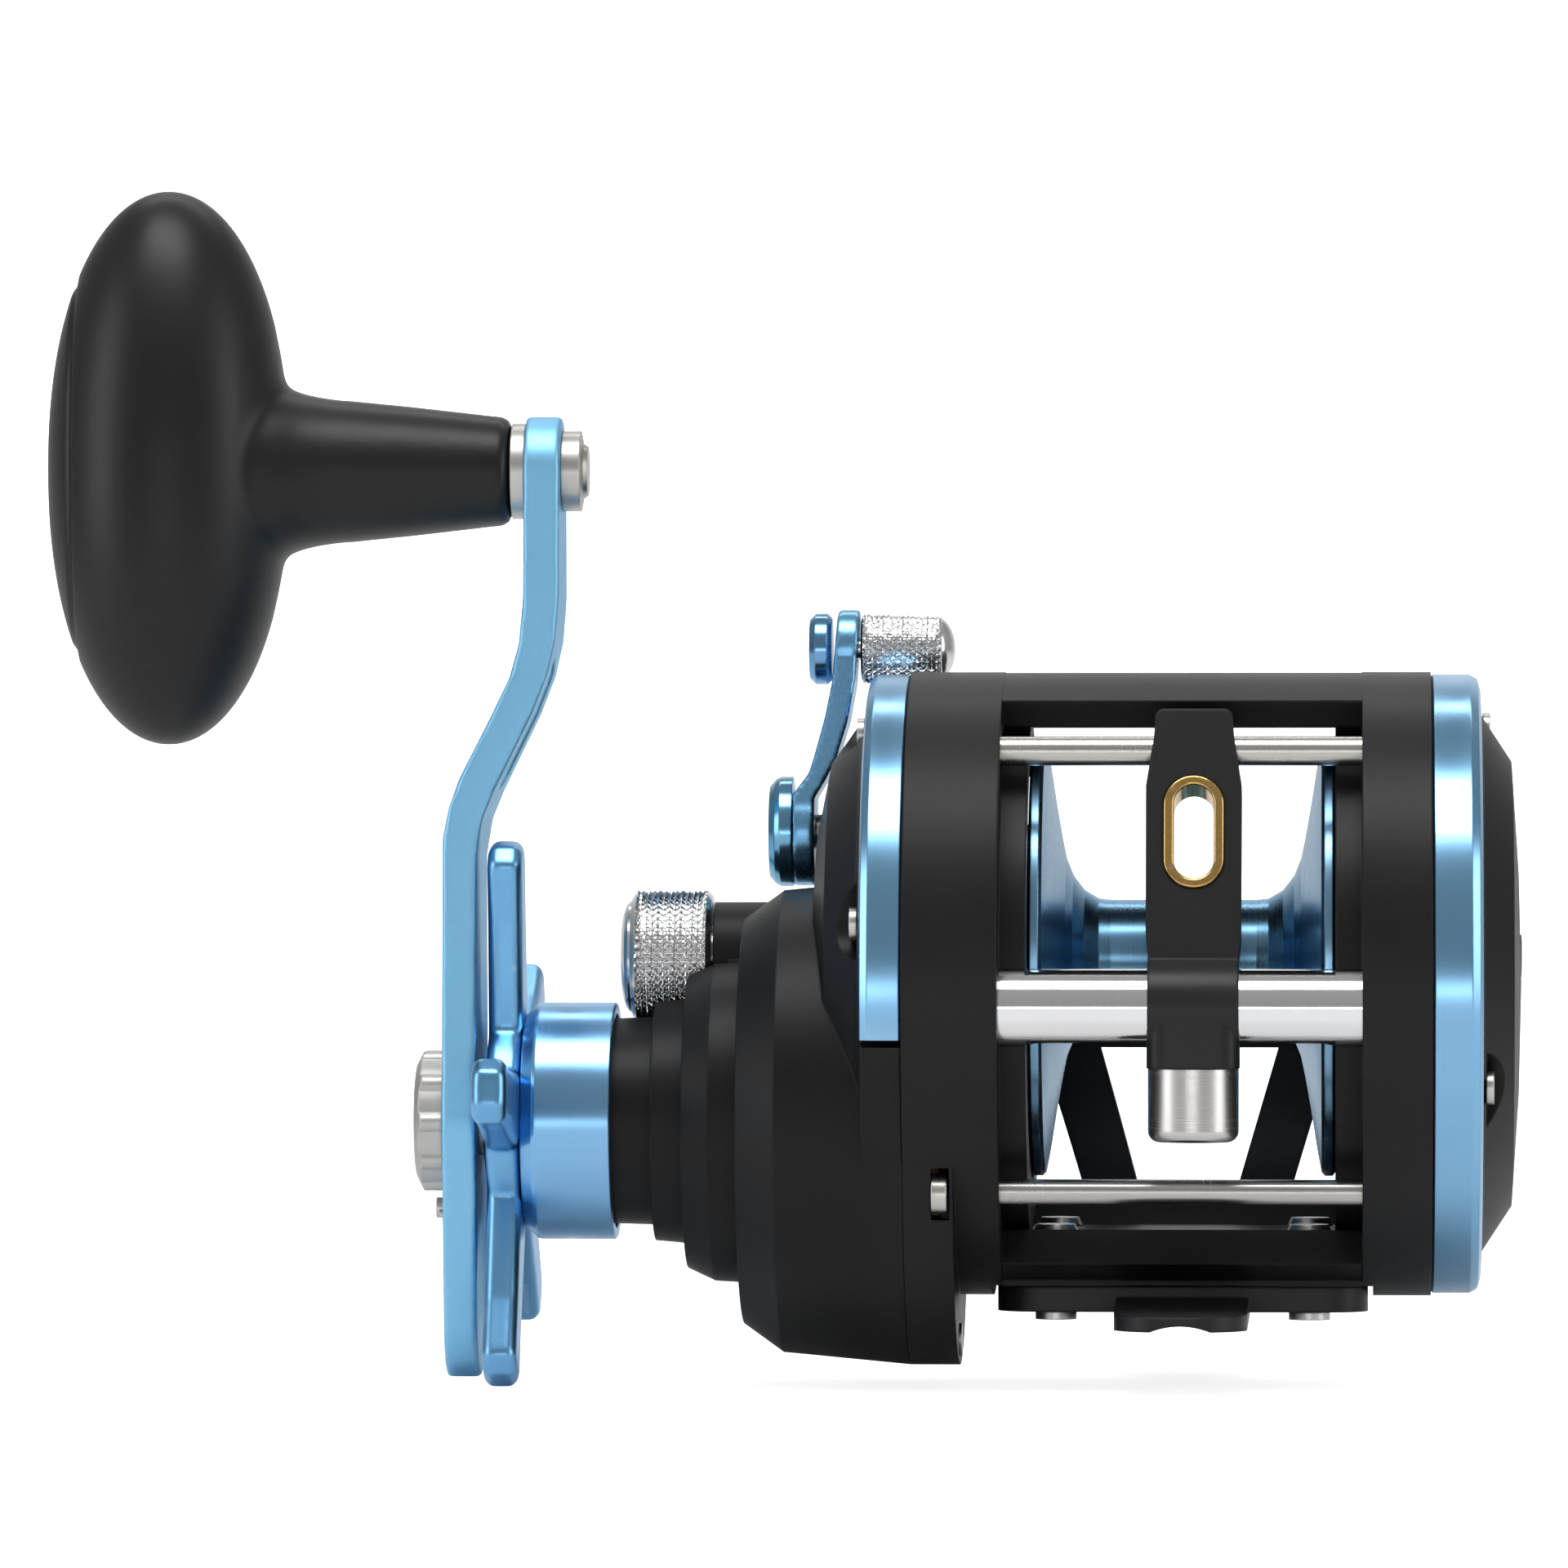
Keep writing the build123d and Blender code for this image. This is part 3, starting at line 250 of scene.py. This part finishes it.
# ------------------------------------------------------------ kinds of finish
def satin_black(name, colour, rough, grain=2600.0, bevel=0.0004, specular=0.5):
    """Dark grained coating, a little lighter on its edges, where a highlight is painted."""
    material, graph, shader = new_material(name)
    position = graph.coordinates()
    fine = graph.noise(position, scale=grain, detail=3, rough=0.55)
    mottle = graph.noise(position, scale=60.0, detail=4, rough=0.55)
    base = graph.mix(mottle, scaled(colour, 0.85), scaled(colour, 1.2))
    roughness = graph.vary(mottle, by=0.14, base=rough - 0.07)
    graph.fill(shader, {
        # painted highlight: the colour is lightened on convex edges
        "Base Color": graph.mix(graph.painted_edge_highlight(0.25), base, scaled(colour, 2.6)),
        "Roughness": graph.vary(fine, by=0.08, base=roughness),
        "Specular IOR Level": specular,
        "Coat Roughness": 0.25,
        "Normal": graph.bump(fine, strength=0.22, distance=0.00004, bevel=bevel),
    })
    return material


PLAIN, BLASTED = 2200.0, 5200.0     # noise scales of smooth and blasted metal


def metal(name, colour, rough, axis=None, along_x=False, pitch=0.0002, grain=PLAIN,
          depth=0.10, aniso=0.0, bevel=0.00025, dark=0.8):
    """Metal with lathe lines round an axis, lines stepping along x, or else a grain.

    pitch is the line spacing in metres, depth the bump strength, and dark the painted
    shade in the hollows.
    """
    material, graph, shader = new_material(name)
    position = graph.coordinates()
    mottle = graph.noise(position, scale=85.0, detail=3, rough=0.5)
    if axis:
        x, y, z = graph.split(position)
        dy = graph.math("SUBTRACT", y, axis[0])
        dz = graph.math("SUBTRACT", z, axis[1])
        squares = [graph.math("MULTIPLY", side, side) for side in (dy, dz)]
        radius = graph.math("SQRT", graph.math("ADD", *squares))
        # a share of x carries the lines on down the cylinder walls
        along = graph.math("ADD", radius, graph.math("MULTIPLY", x, 0.83))
        texture = graph.lines(along, 1.0 / pitch)
    elif along_x:
        texture = graph.lines(graph.split(position)[0], 1.0 / pitch)
    else:
        texture = graph.noise(position, scale=grain, detail=2, rough=0.6)
    # painted shade: the hollows of the lines or grain are coloured darker than the crests
    base = graph.mix(texture, scaled(colour, dark), scaled(colour, 1.06))
    # painted highlight: convex edges are mixed towards a lighter, paler colour
    edge_highlight_colour = tuple(min(1, 0.35 + channel * 0.7) for channel in colour)
    roughness = graph.vary(texture, by=0.25 * rough, base=rough * 0.875)
    graph.fill(shader, {
        "Metallic": 1.0,
        "Base Color": graph.mix(graph.painted_edge_highlight(0.35), base, edge_highlight_colour),
        "Roughness": graph.vary(mottle, by=rough * 0.35, base=roughness),
        "Anisotropic": aniso,
        "Normal": graph.bump(texture, strength=depth, distance=0.00003, bevel=bevel),
    })
    return material


def cap_metal():
    """Turned cap: lathe lines run round a vertical axis, so they lie level."""
    material, graph, shader = new_material("turned_cap")
    height = graph.split(graph.coordinates())[2]
    line = graph.lines(height, per_metre=9000.0)
    graph.fill(shader, {
        "Metallic": 1.0,
        "Base Color": graph.mix(line, (0.48, 0.47, 0.46), (0.70, 0.69, 0.68)),
        "Roughness": graph.vary(line, by=0.12, base=0.20),
        "Anisotropic": 0.5,
        "Normal": graph.bump(line, strength=0.35, distance=0.00003, bevel=0.0002),
    })
    return material


def carbon():
    """Small dark checks for the fibre drag washers."""
    material, graph, shader = new_material("carbon_drag")
    inputs = {"Scale": 1400.0, "Vector": graph.coordinates()}
    check = graph.add("ShaderNodeTexChecker", inputs).outputs["Fac"]
    graph.fill(shader, {
        "Base Color": graph.mix(check, (0.02, 0.02, 0.022), (0.06, 0.06, 0.065)),
        "Roughness": 0.45,
        "Normal": graph.bump(check, strength=0.3, distance=0.00004),
    })
    return material


# ------------------------------------------------------------ materials and their pieces
MATERIAL_OF = {}


def dress(material, *pieces):
    for piece in pieces:
        MATERIAL_OF[piece] = material


dress(satin_black("housing_black", (0.006, 0.0063, 0.007), rough=0.38, specular=0.22),
      "frame")
dress(satin_black("cover_black", (0.0055, 0.0058, 0.0065), rough=0.40, specular=0.21),
      "gear_side_cover", "palm_side_cover")
dress(satin_black("foot_black", (0.007, 0.0073, 0.008), rough=0.33, bevel=0.0005,
                  specular=0.3), "reel_foot")
dress(satin_black("guide_black", (0.008, 0.0083, 0.009), rough=0.36, grain=3200.0,
                  bevel=0.0005, specular=0.3), "line_guide")
dress(satin_black("grip_rubber", (0.006, 0.0061, 0.0067), rough=0.36, grain=1700.0,
                  bevel=0.0, specular=0.33), "handle_knob")
dress(satin_black("knob_cap_black", (0.006, 0.0061, 0.0067), rough=0.33, grain=2500.0,
                  bevel=0.0003, specular=0.33), "knob_end_cap")
dress(satin_black("inner_plastic", (0.03, 0.031, 0.034), rough=0.45, grain=2400.0,
                  bevel=0.0002),
      "worm_gear", "idler_gear", "spool_gear", "yoke", "click_button")

BLUE = (0.21, 0.48, 0.75)
STEEL = (0.56, 0.545, 0.51)
SILVER = (0.80, 0.80, 0.80)
BRASS = (0.78, 0.56, 0.25)

dress(metal("blue_ring", BLUE, rough=0.20, axis=RING_AXIS, pitch=0.00022, aniso=0.3),
      "gear_side_ring", "palm_side_ring")
dress(metal("blue_spool", (0.23, 0.48, 0.72), rough=0.24, axis=SPOOL_AXIS, pitch=0.00030,
            depth=0.16, aniso=0.3, dark=0.72), "spool")
dress(metal("blue_star", (0.19, 0.46, 0.76), rough=0.26, grain=BLASTED, depth=0.05,
            bevel=0.0005), "star_wheel")
dress(metal("blue_sleeve", (0.22, 0.50, 0.82), rough=0.22, along_x=True, pitch=0.00012,
            depth=0.30, aniso=0.5), "star_sleeve")
dress(metal("blue_arm", (0.25, 0.565, 0.82), rough=0.40, grain=BLASTED, depth=0.5,
            bevel=0.00045, dark=0.92), "handle_arm")
dress(metal("blue_lever", BLUE, rough=0.24, depth=0.06, bevel=0.0004), "clutch_lever")
dress(metal("blue_cap", (0.14, 0.40, 0.62), rough=0.15, axis=LEVER_AXIS, depth=0.2),
      "lever_pivot_cap")
dress(metal("blue_gripcap", (0.14, 0.36, 0.62), rough=0.15, axis=GRIP_AXIS, depth=0.2),
      "lever_grip_cap")
dress(metal("steel_plain", STEEL, rough=0.28, depth=0.05),
      "gear_cover_screws", "housing_screws", "palm_cover_screws", "foot_rivets",
      "idler_stud", "dog_stud", "yoke_posts", "bridge_plate", "anti_reverse_dog",
      "lever_cam", "pawl", "clutch_pin", "click_tongue", "nut_keeper_screw",
      "spool_bearing_balls")
dress(metal("steel_spool_axis", STEEL, rough=0.22, axis=SPOOL_AXIS, depth=0.15),
      "spool_shaft", "spool_bearing_races")
dress(metal("steel_drive_axis", STEEL, rough=0.25, axis=DRIVE_AXIS, depth=0.15),
      "drive_shaft", "drag_metal_washers", "drag_spring_washer", "ratchet")
dress(metal("steel_nut", (0.50, 0.485, 0.46), rough=0.38, grain=BLASTED, depth=0.5,
            bevel=0.0004), "handle_nut")
dress(metal("steel_upper_rod", (0.50, 0.48, 0.44), rough=0.22, along_x=True, pitch=0.0003,
            depth=0.12), "upper_guide_rod")
# the lower rod is the same steel as the upper rod, painted darker as shade
dress(metal("steel_lower_rod_painted_shade", (0.47, 0.455, 0.43), rough=0.22, along_x=True, pitch=0.0003,
            depth=0.12), "lower_guide_rod")
dress(metal("steel_knob_axis", (0.50, 0.48, 0.45), rough=0.30, axis=KNOB_AXIS,
            pitch=0.00018, depth=0.3), "knob_spindle", "knob_washer")
dress(metal("chrome_tube", (0.78, 0.785, 0.80), rough=0.09, along_x=True, pitch=0.0006,
            depth=0.03, dark=0.95), "level_wind_tube")
dress(metal("worm_steel", STEEL, rough=0.2, along_x=True, depth=0.15), "worm_shaft")
dress(metal("knurled_silver", SILVER, rough=0.17, axis=SPOOL_AXIS, depth=0.05, bevel=0.0),
      "tension_knob")
dress(metal("knurled_silver_grip", SILVER, rough=0.17, axis=GRIP_AXIS, depth=0.05,
            bevel=0.0), "lever_grip")
dress(metal("brass_gear", BRASS, rough=0.25, axis=DRIVE_AXIS, depth=0.12), "main_gear")
dress(metal("brass_pinion", BRASS, rough=0.22, axis=SPOOL_AXIS, depth=0.12),
      "click_gear", "pinion")
dress(metal("gold_eyelet", (0.66, 0.42, 0.14), rough=0.14, depth=0.03, bevel=0.0002),
      "line_eyelet")
dress(metal("bronze_bush", (0.52, 0.33, 0.18), rough=0.35, axis=DRIVE_AXIS),
      "drive_bushing")
dress(cap_metal(), "pawl_cap")
dress(carbon(), "drag_fibre_washers")

for piece in list(bpy.data.objects):
    if piece.type == "MESH" and piece.name in MATERIAL_OF:
        material = MATERIAL_OF[piece.name]
        if not piece.material_slots:
            piece.data.materials.append(material)
        for material_slot in piece.material_slots:
            material_slot.material = material


# ------------------------------------------------------------ mesh helpers
def shade_smooth(mesh):
    for polygon in mesh.polygons:
        polygon.use_smooth = True


def finish_mesh(name, bm, material, smooth=True, angle=35):
    """Turn bm into a scene object; edges sharper than angle (degrees) stay crisp."""
    bmesh.ops.recalc_face_normals(bm, faces=bm.faces)
    mesh = bpy.data.meshes.new(name)
    bm.to_mesh(mesh)
    bm.free()
    obj = bpy.data.objects.new(name, mesh)
    bpy.context.scene.collection.objects.link(obj)
    mesh.materials.append(material)
    if smooth:
        shade_smooth(mesh)
        bpy.context.view_layer.objects.active = obj
        obj.select_set(True)
        try:
            bpy.ops.object.shade_smooth_by_angle(angle=radians(angle))
        except RuntimeError:
            pass    # the operator can refuse its context; the mesh then stays all smooth
        obj.select_set(False)
    return obj


def ring_about_x(bm, x, axis, radius, count):
    """Ring of vertices at x; radius is in mm, or a function of the angle."""
    ring = []
    for i in range(count):
        a = 2 * pi * i / count
        r = radius(a) if callable(radius) else radius
        ring.append(bm.verts.new((x * MM, axis[0] + r * MM * cos(a),
                                  axis[1] + r * MM * sin(a))))
    return ring


def bridge(bm, rings):
    for ring, following in zip(rings, rings[1:]):
        for i in range(len(ring)):
            j = (i + 1) % len(ring)
            bm.faces.new((ring[i], ring[j], following[j], following[i]))


def close_to_point(bm, ring, point):
    centre = bm.verts.new(point)
    for i in range(len(ring)):
        bm.faces.new((ring[i], ring[(i + 1) % len(ring)], centre))


def lathe(name, rows, axis, count, material, angle):
    """Closed surface of revolution; rows are (x, radius) as ring_about_x takes them."""
    bm = bmesh.new()
    rings = [ring_about_x(bm, x, axis, radius, count) for x, radius in rows]
    bridge(bm, rings)
    for ring in (rings[0], rings[-1]):
        close_to_point(bm, ring, (ring[0].co.x, *axis))
    return finish_mesh(name, bm, material, angle=angle)


def from_x(x, rows):
    """Shift rows of (x offset, radius) to start from x."""
    return [(x + offset, radius) for offset, radius in rows]


def knurl_rows(start, end, radius, teeth, depth, steps):
    """Lathe rows for a diamond knurl between two x stations; teeth go round the circle."""
    tooth_angle = 2 * pi / teeth
    diamond_length = 2 * pi * radius / teeth * 1.25
    run_out = 0.25      # length over which the cuts fade at each end
    flat = 0.12         # share of a tooth left uncut at its crest

    def row_radius(turn, fade):
        def at_angle(a):
            tooth = a / tooth_angle
            groove = max(abs(((tooth + turn) % 1.0) - 0.5) * 2,
                         abs(((tooth - turn) % 1.0) - 0.5) * 2)
            return radius - depth * fade * max(0.0, (groove - flat) / 0.88)
        return at_angle

    rows = []
    for k in range(steps + 1):
        x = start + (end - start) * k / steps
        fade = min(1.0, min(x - start, end - x) / run_out)
        rows.append((x, row_radius((x - start) / diamond_length, fade)))
    return rows


def remesh(obj, voxel):
    modifier = obj.modifiers.new("r", "REMESH")
    modifier.mode = "VOXEL"
    modifier.voxel_size = voxel * MM
    modifier.use_smooth_shade = True
    bpy.context.view_layer.objects.active = obj
    bpy.ops.object.modifier_apply(modifier="r")


def relax(bm, verts, rounds):
    for _ in range(rounds):
        bmesh.ops.smooth_vert(bm, verts=verts, factor=0.5,
                              use_axis_x=True, use_axis_y=True, use_axis_z=True)


def register(obj, body, slot, *replaced):
    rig.ride(obj, body)
    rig.slot(obj, slot)
    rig.replaces(obj, *replaced)


KNURL_ANGLE = 18    # smoothing limit that keeps the knurl crisp, degrees


# ------------------------------------------------------------ knurled pieces
def build_tension_knob():
    """Knurled drum with a stepped low-x face and a bored collar at high x."""
    lo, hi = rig.box("tension_knob")
    rim = (hi[2] - lo[2]) / 2 / MM
    shoulder = rim - 0.1
    face = lo[0] / MM
    # (x from the low-x face, radius)
    rows = from_x(face, [
        (0, 0.4), (0, 4.2), (0.15, 5.2), (0.5, 6.1), (0.9, 6.55), (1.15, 6.6),
        (1.2, 7.0), (1.3, 7.15), (1.75, shoulder)])
    rows += knurl_rows(face + 1.8, face + 10.1, rim, teeth=46, depth=0.62, steps=84)
    rows += from_x(face, [
        (10.2, shoulder), (10.65, 7.15), (10.7, 7.0), (10.7, 3.9), (15.7, 3.9),
        (15.9, 3.7), (15.9, 1.9), (9.0, 1.9), (9.0, 0.3)])
    knob = lathe("tension_knob_knurled", rows, SPOOL_AXIS, 416,
                 MATERIAL_OF["tension_knob"], KNURL_ANGLE)
    register(knob, "tension_adjuster", "knurled_silver", "tension_knob")


def build_lever_grip():
    """Thin stem, then a knurled barrel that narrows to a domed high-x end."""
    lo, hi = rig.box("lever_grip")
    stem_end = lo[0] / MM
    barrel = -38.3      # x where the barrel begins
    tip = hi[0] / MM
    narrowing = 0.42    # radius lost from the start of the barrel to the tip

    def narrowed(radius, amount):
        return lambda a: radius(a) - amount

    rows = [(stem_end, 0.3), (stem_end, 1.3)]
    rows += from_x(barrel, [(-0.02, 1.3), (0, 1.5), (0, 3.6), (0.15, 3.85)])
    knurl = knurl_rows(barrel + 0.25, tip - 1.6, 4.15, teeth=28, depth=0.50, steps=92)
    for x, radius in knurl:
        share = (x - barrel) / (tip - barrel)
        rows.append((x, narrowed(radius, narrowing * share)))
    rows += from_x(tip, [
        (-1.5, 3.55), (-1.2, 3.35), (-0.8, 2.9), (-0.35, 2.1), (-0.1, 1.2), (0, 0.3)])
    grip = lathe("lever_grip_knurled", rows, GRIP_AXIS, 320,
                 MATERIAL_OF["lever_grip"], KNURL_ANGLE)
    register(grip, "lever", "knurled_silver", "lever_grip")


build_tension_knob()
build_lever_grip()


# ------------------------------------------------------------ handle knob
def build_handle_knob():
    """One soft body: an upright rounded bar, and a filleted neck running to +x."""
    lo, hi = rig.box("handle_knob")
    bar_x = -118.9
    bar_radius = 14.2
    top, bottom = hi[2] / MM, lo[2] / MM
    middle = (top + bottom) / 2
    half_height = (top - bottom) / 2
    around, levels = 72, 64
    # (x, radius) from inside the bar out to the arm end
    neck = [(bar_x, 10.5), (-108, 10.5), (-106.2, 10.3), (-104.6, 9.7), (-102.5, 9.0),
            (-99.5, 8.5), (-90.0, 7.55), (-79.6, 6.35), (-79.0, 6.0), (hi[0] / MM, 5.2)]
    fillet_x, fillet_radius = (-109.5, -98.0), 17.0     # zone smoothed hardest
    firm_x = -80.5                                      # no smoothing beyond this x
    groove_x, groove_half_width, groove_depth = -129.7, 0.45, 0.35

    def bar_ring(bm, z):
        t = min(1.0, abs((z - middle) / half_height))
        r = bar_radius * max(0.0, 1 - t ** 2.18) ** (1 / 2.02)
        # a little deeper in y than in x
        return [bm.verts.new(((bar_x + r * cos(2 * pi * i / around)) * MM,
                              KNOB_AXIS[0] + r * 1.04 * MM * sin(2 * pi * i / around),
                              z * MM)) for i in range(around)]

    bm = bmesh.new()
    rings = [bar_ring(bm, middle + half_height * cos(pi * j / levels))
             for j in range(1, levels)]
    bridge(bm, rings)
    for ring, z in ((rings[0], top), (rings[-1], bottom)):
        close_to_point(bm, ring, (bar_x * MM, KNOB_AXIS[0], z * MM))
    rings = [ring_about_x(bm, x, KNOB_AXIS, radius, around) for x, radius in neck]
    bridge(bm, rings)
    bm.faces.new(rings[0])
    bm.faces.new(rings[-1])
    knob = finish_mesh("handle_knob_body", bm, MATERIAL_OF["handle_knob"])
    remesh(knob, voxel=0.42)

    # widen the junction of bar and neck into a fillet, then ease the whole body
    bm = bmesh.new()
    bm.from_mesh(knob.data)
    junction = [
        v for v in bm.verts
        if fillet_x[0] < v.co.x / MM < fillet_x[1]
        and hypot(v.co.y - KNOB_AXIS[0], v.co.z - KNOB_AXIS[1]) / MM < fillet_radius]
    relax(bm, junction, rounds=26)
    relax(bm, [v for v in bm.verts if v.co.x / MM < firm_x], rounds=3)
    # groove that sets off the end cap
    for v in bm.verts:
        offset = abs(v.co.x / MM - groove_x)
        if offset < groove_half_width:
            v.co -= v.normal * (groove_depth * MM * (1 - offset / groove_half_width))
    bm.to_mesh(knob.data)
    bm.free()
    shade_smooth(knob.data)
    register(knob, "knob", "grip_rubber", "handle_knob", "knob_end_cap")


build_handle_knob()


# ------------------------------------------------------------ cast and pressed parts
def soften(source, name, body, slot, voxel, rounds):
    """Rebuild a CAD piece in the same shape with its edges really rounded."""
    original = bpy.data.objects[source]
    bm = bmesh.new()
    bm.from_mesh(original.data)
    bm.transform(original.matrix_world)
    bmesh.ops.remove_doubles(bm, verts=bm.verts, dist=2e-6)
    bmesh.ops.triangulate(bm, faces=bm.faces)
    piece = finish_mesh(name, bm, MATERIAL_OF[source], smooth=False)
    remesh(piece, voxel)
    bm = bmesh.new()
    bm.from_mesh(piece.data)
    relax(bm, bm.verts, rounds)
    bm.to_mesh(piece.data)
    bm.free()
    shade_smooth(piece.data)
    register(piece, body, slot, source)


soften("star_wheel", "star_wheel_cast", "star", "blue_anodised", voxel=0.28, rounds=9)
soften("handle_arm", "handle_arm_pressed", "handle", "blue_blasted", voxel=0.28, rounds=7)
soften("clutch_lever", "clutch_lever_formed", "lever", "blue_anodised", voxel=0.24, rounds=5)


# ------------------------------------------------------------ stage (metres)
def floor_material():
    """Reads as clean white to the camera while it lights the reel only softly."""
    material, graph, shader = new_material("studio_floor")
    mottle = graph.noise(graph.coordinates(), scale=8.0, detail=3, rough=0.5)
    camera_ray = graph.add("ShaderNodeLightPath").outputs["Is Camera Ray"]
    graph.fill(shader, {
        "Base Color": graph.mix(mottle, (0.86, 0.86, 0.86), (0.90, 0.90, 0.90)),
        "Roughness": 0.8,
        "Emission Color": (1, 1, 1),
        "Emission Strength": graph.math("MULTIPLY", camera_ray, 0.80),
    })
    return material


def build_floor():
    """Floor that curves up into a wall at the back."""
    floor_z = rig.bounds()[0][2] - 0.0004
    half_width = 3.0
    front_y, bend_y, wall_top = -0.9, 1.75, 2.6
    bend_radius, bend_steps = 0.35, 8
    profile = [(front_y, 0.0), (bend_y, 0.0)]
    for t in range(1, bend_steps + 1):
        a = t * pi / 2 / bend_steps
        profile.append((bend_y + bend_radius * sin(a), bend_radius * (1 - cos(a))))
    profile.append((bend_y + bend_radius, wall_top))
    bm = bmesh.new()
    pairs = [[bm.verts.new((x, y, floor_z + z)) for x in (-half_width, half_width)]
             for y, z in profile]
    for near, far in zip(pairs, pairs[1:]):
        bm.faces.new((near[0], near[1], far[1], far[0]))
    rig.stage(finish_mesh("studio_floor", bm, floor_material()))


build_floor()


# ------------------------------------------------------------ lights, world, camera
def place(name, data, location, target):
    """Add a light or camera at location, pointed at target."""
    obj = bpy.data.objects.new(name, data)
    bpy.context.scene.collection.objects.link(obj)
    obj.location = location
    direction = Vector(target) - Vector(location)
    obj.rotation_euler = direction.to_track_quat("-Z", "Y").to_euler()
    return obj


REEL = (-0.045, 0.0, 0.06)
BACKDROP = (0.0, 1.9, 0.1)
# name, location, target, (size, size_y), watts
LIGHTS = [
    ("key_top", (-0.10, -0.25, 0.75), REEL, (0.55, 0.35), 3.6),
    ("side_left", (-0.80, -0.35, 0.20), REEL, (0.35, 0.7), 2.1),
    ("side_right", (0.75, -0.30, 0.22), REEL, (0.35, 0.7), 2.1),
    ("front_low", (-0.05, -1.15, -0.0), REEL, (0.5, 0.10), 0.7),
    ("back_wash", (0.0, 0.9, 1.3), BACKDROP, (1.4, 0.4), 14.0),
]
for name, location, target, (size, size_y), watts in LIGHTS:
    light = bpy.data.lights.new(name, "AREA")
    light.shape = "RECTANGLE"
    light.size = size
    light.size_y = size_y
    light.energy = watts
    place(name, light, location, target)


def build_world():
    """Grey below the horizon, rising to white overhead."""
    world = bpy.data.worlds.new("studio")
    bpy.context.scene.world = world
    graph = Graph(world)
    output = graph.add("ShaderNodeOutputWorld")
    up = graph.split(graph.coordinates("Generated"))[2]
    colour = graph.ramp(graph.vary(up, by=0.5, base=0.5), [
        (0.0, (0.30, 0.30, 0.31)), (0.42, (0.42, 0.42, 0.43)),
        (0.52, (0.85, 0.85, 0.86)), (0.75, (1.0, 1.0, 1.0))])
    background = graph.add("ShaderNodeBackground", {"Color": colour, "Strength": 0.36})
    graph.fill(output, {0: background.outputs[0]})


def build_camera():
    """Level view from the front, a little from the right."""
    camera_x, camera_y, target_x = 0.0175, -1.250, -0.0468
    view_z = RING_AXIS[1] + 0.0233
    view_width = 0.1837     # width in frame at the target
    sensor = 36.0           # mm
    data = bpy.data.cameras.new("camera")
    camera = place("camera", data, (camera_x, camera_y, view_z), (target_x, 0.0, view_z))
    data.sensor_width = sensor
    data.lens = sensor * hypot(camera_y, camera_x - target_x) / view_width
    data.clip_start = 0.01
    bpy.context.scene.camera = camera


build_world()
build_camera()
bpy.context.scene.view_settings.view_transform = "Standard"

NEW_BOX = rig.bounds()
json.dump({"cad": [[float(c) for c in v] for v in CAD_BOX],
           "visual": [[float(c) for c in v] for v in NEW_BOX]},
          open("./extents.json", "w"))
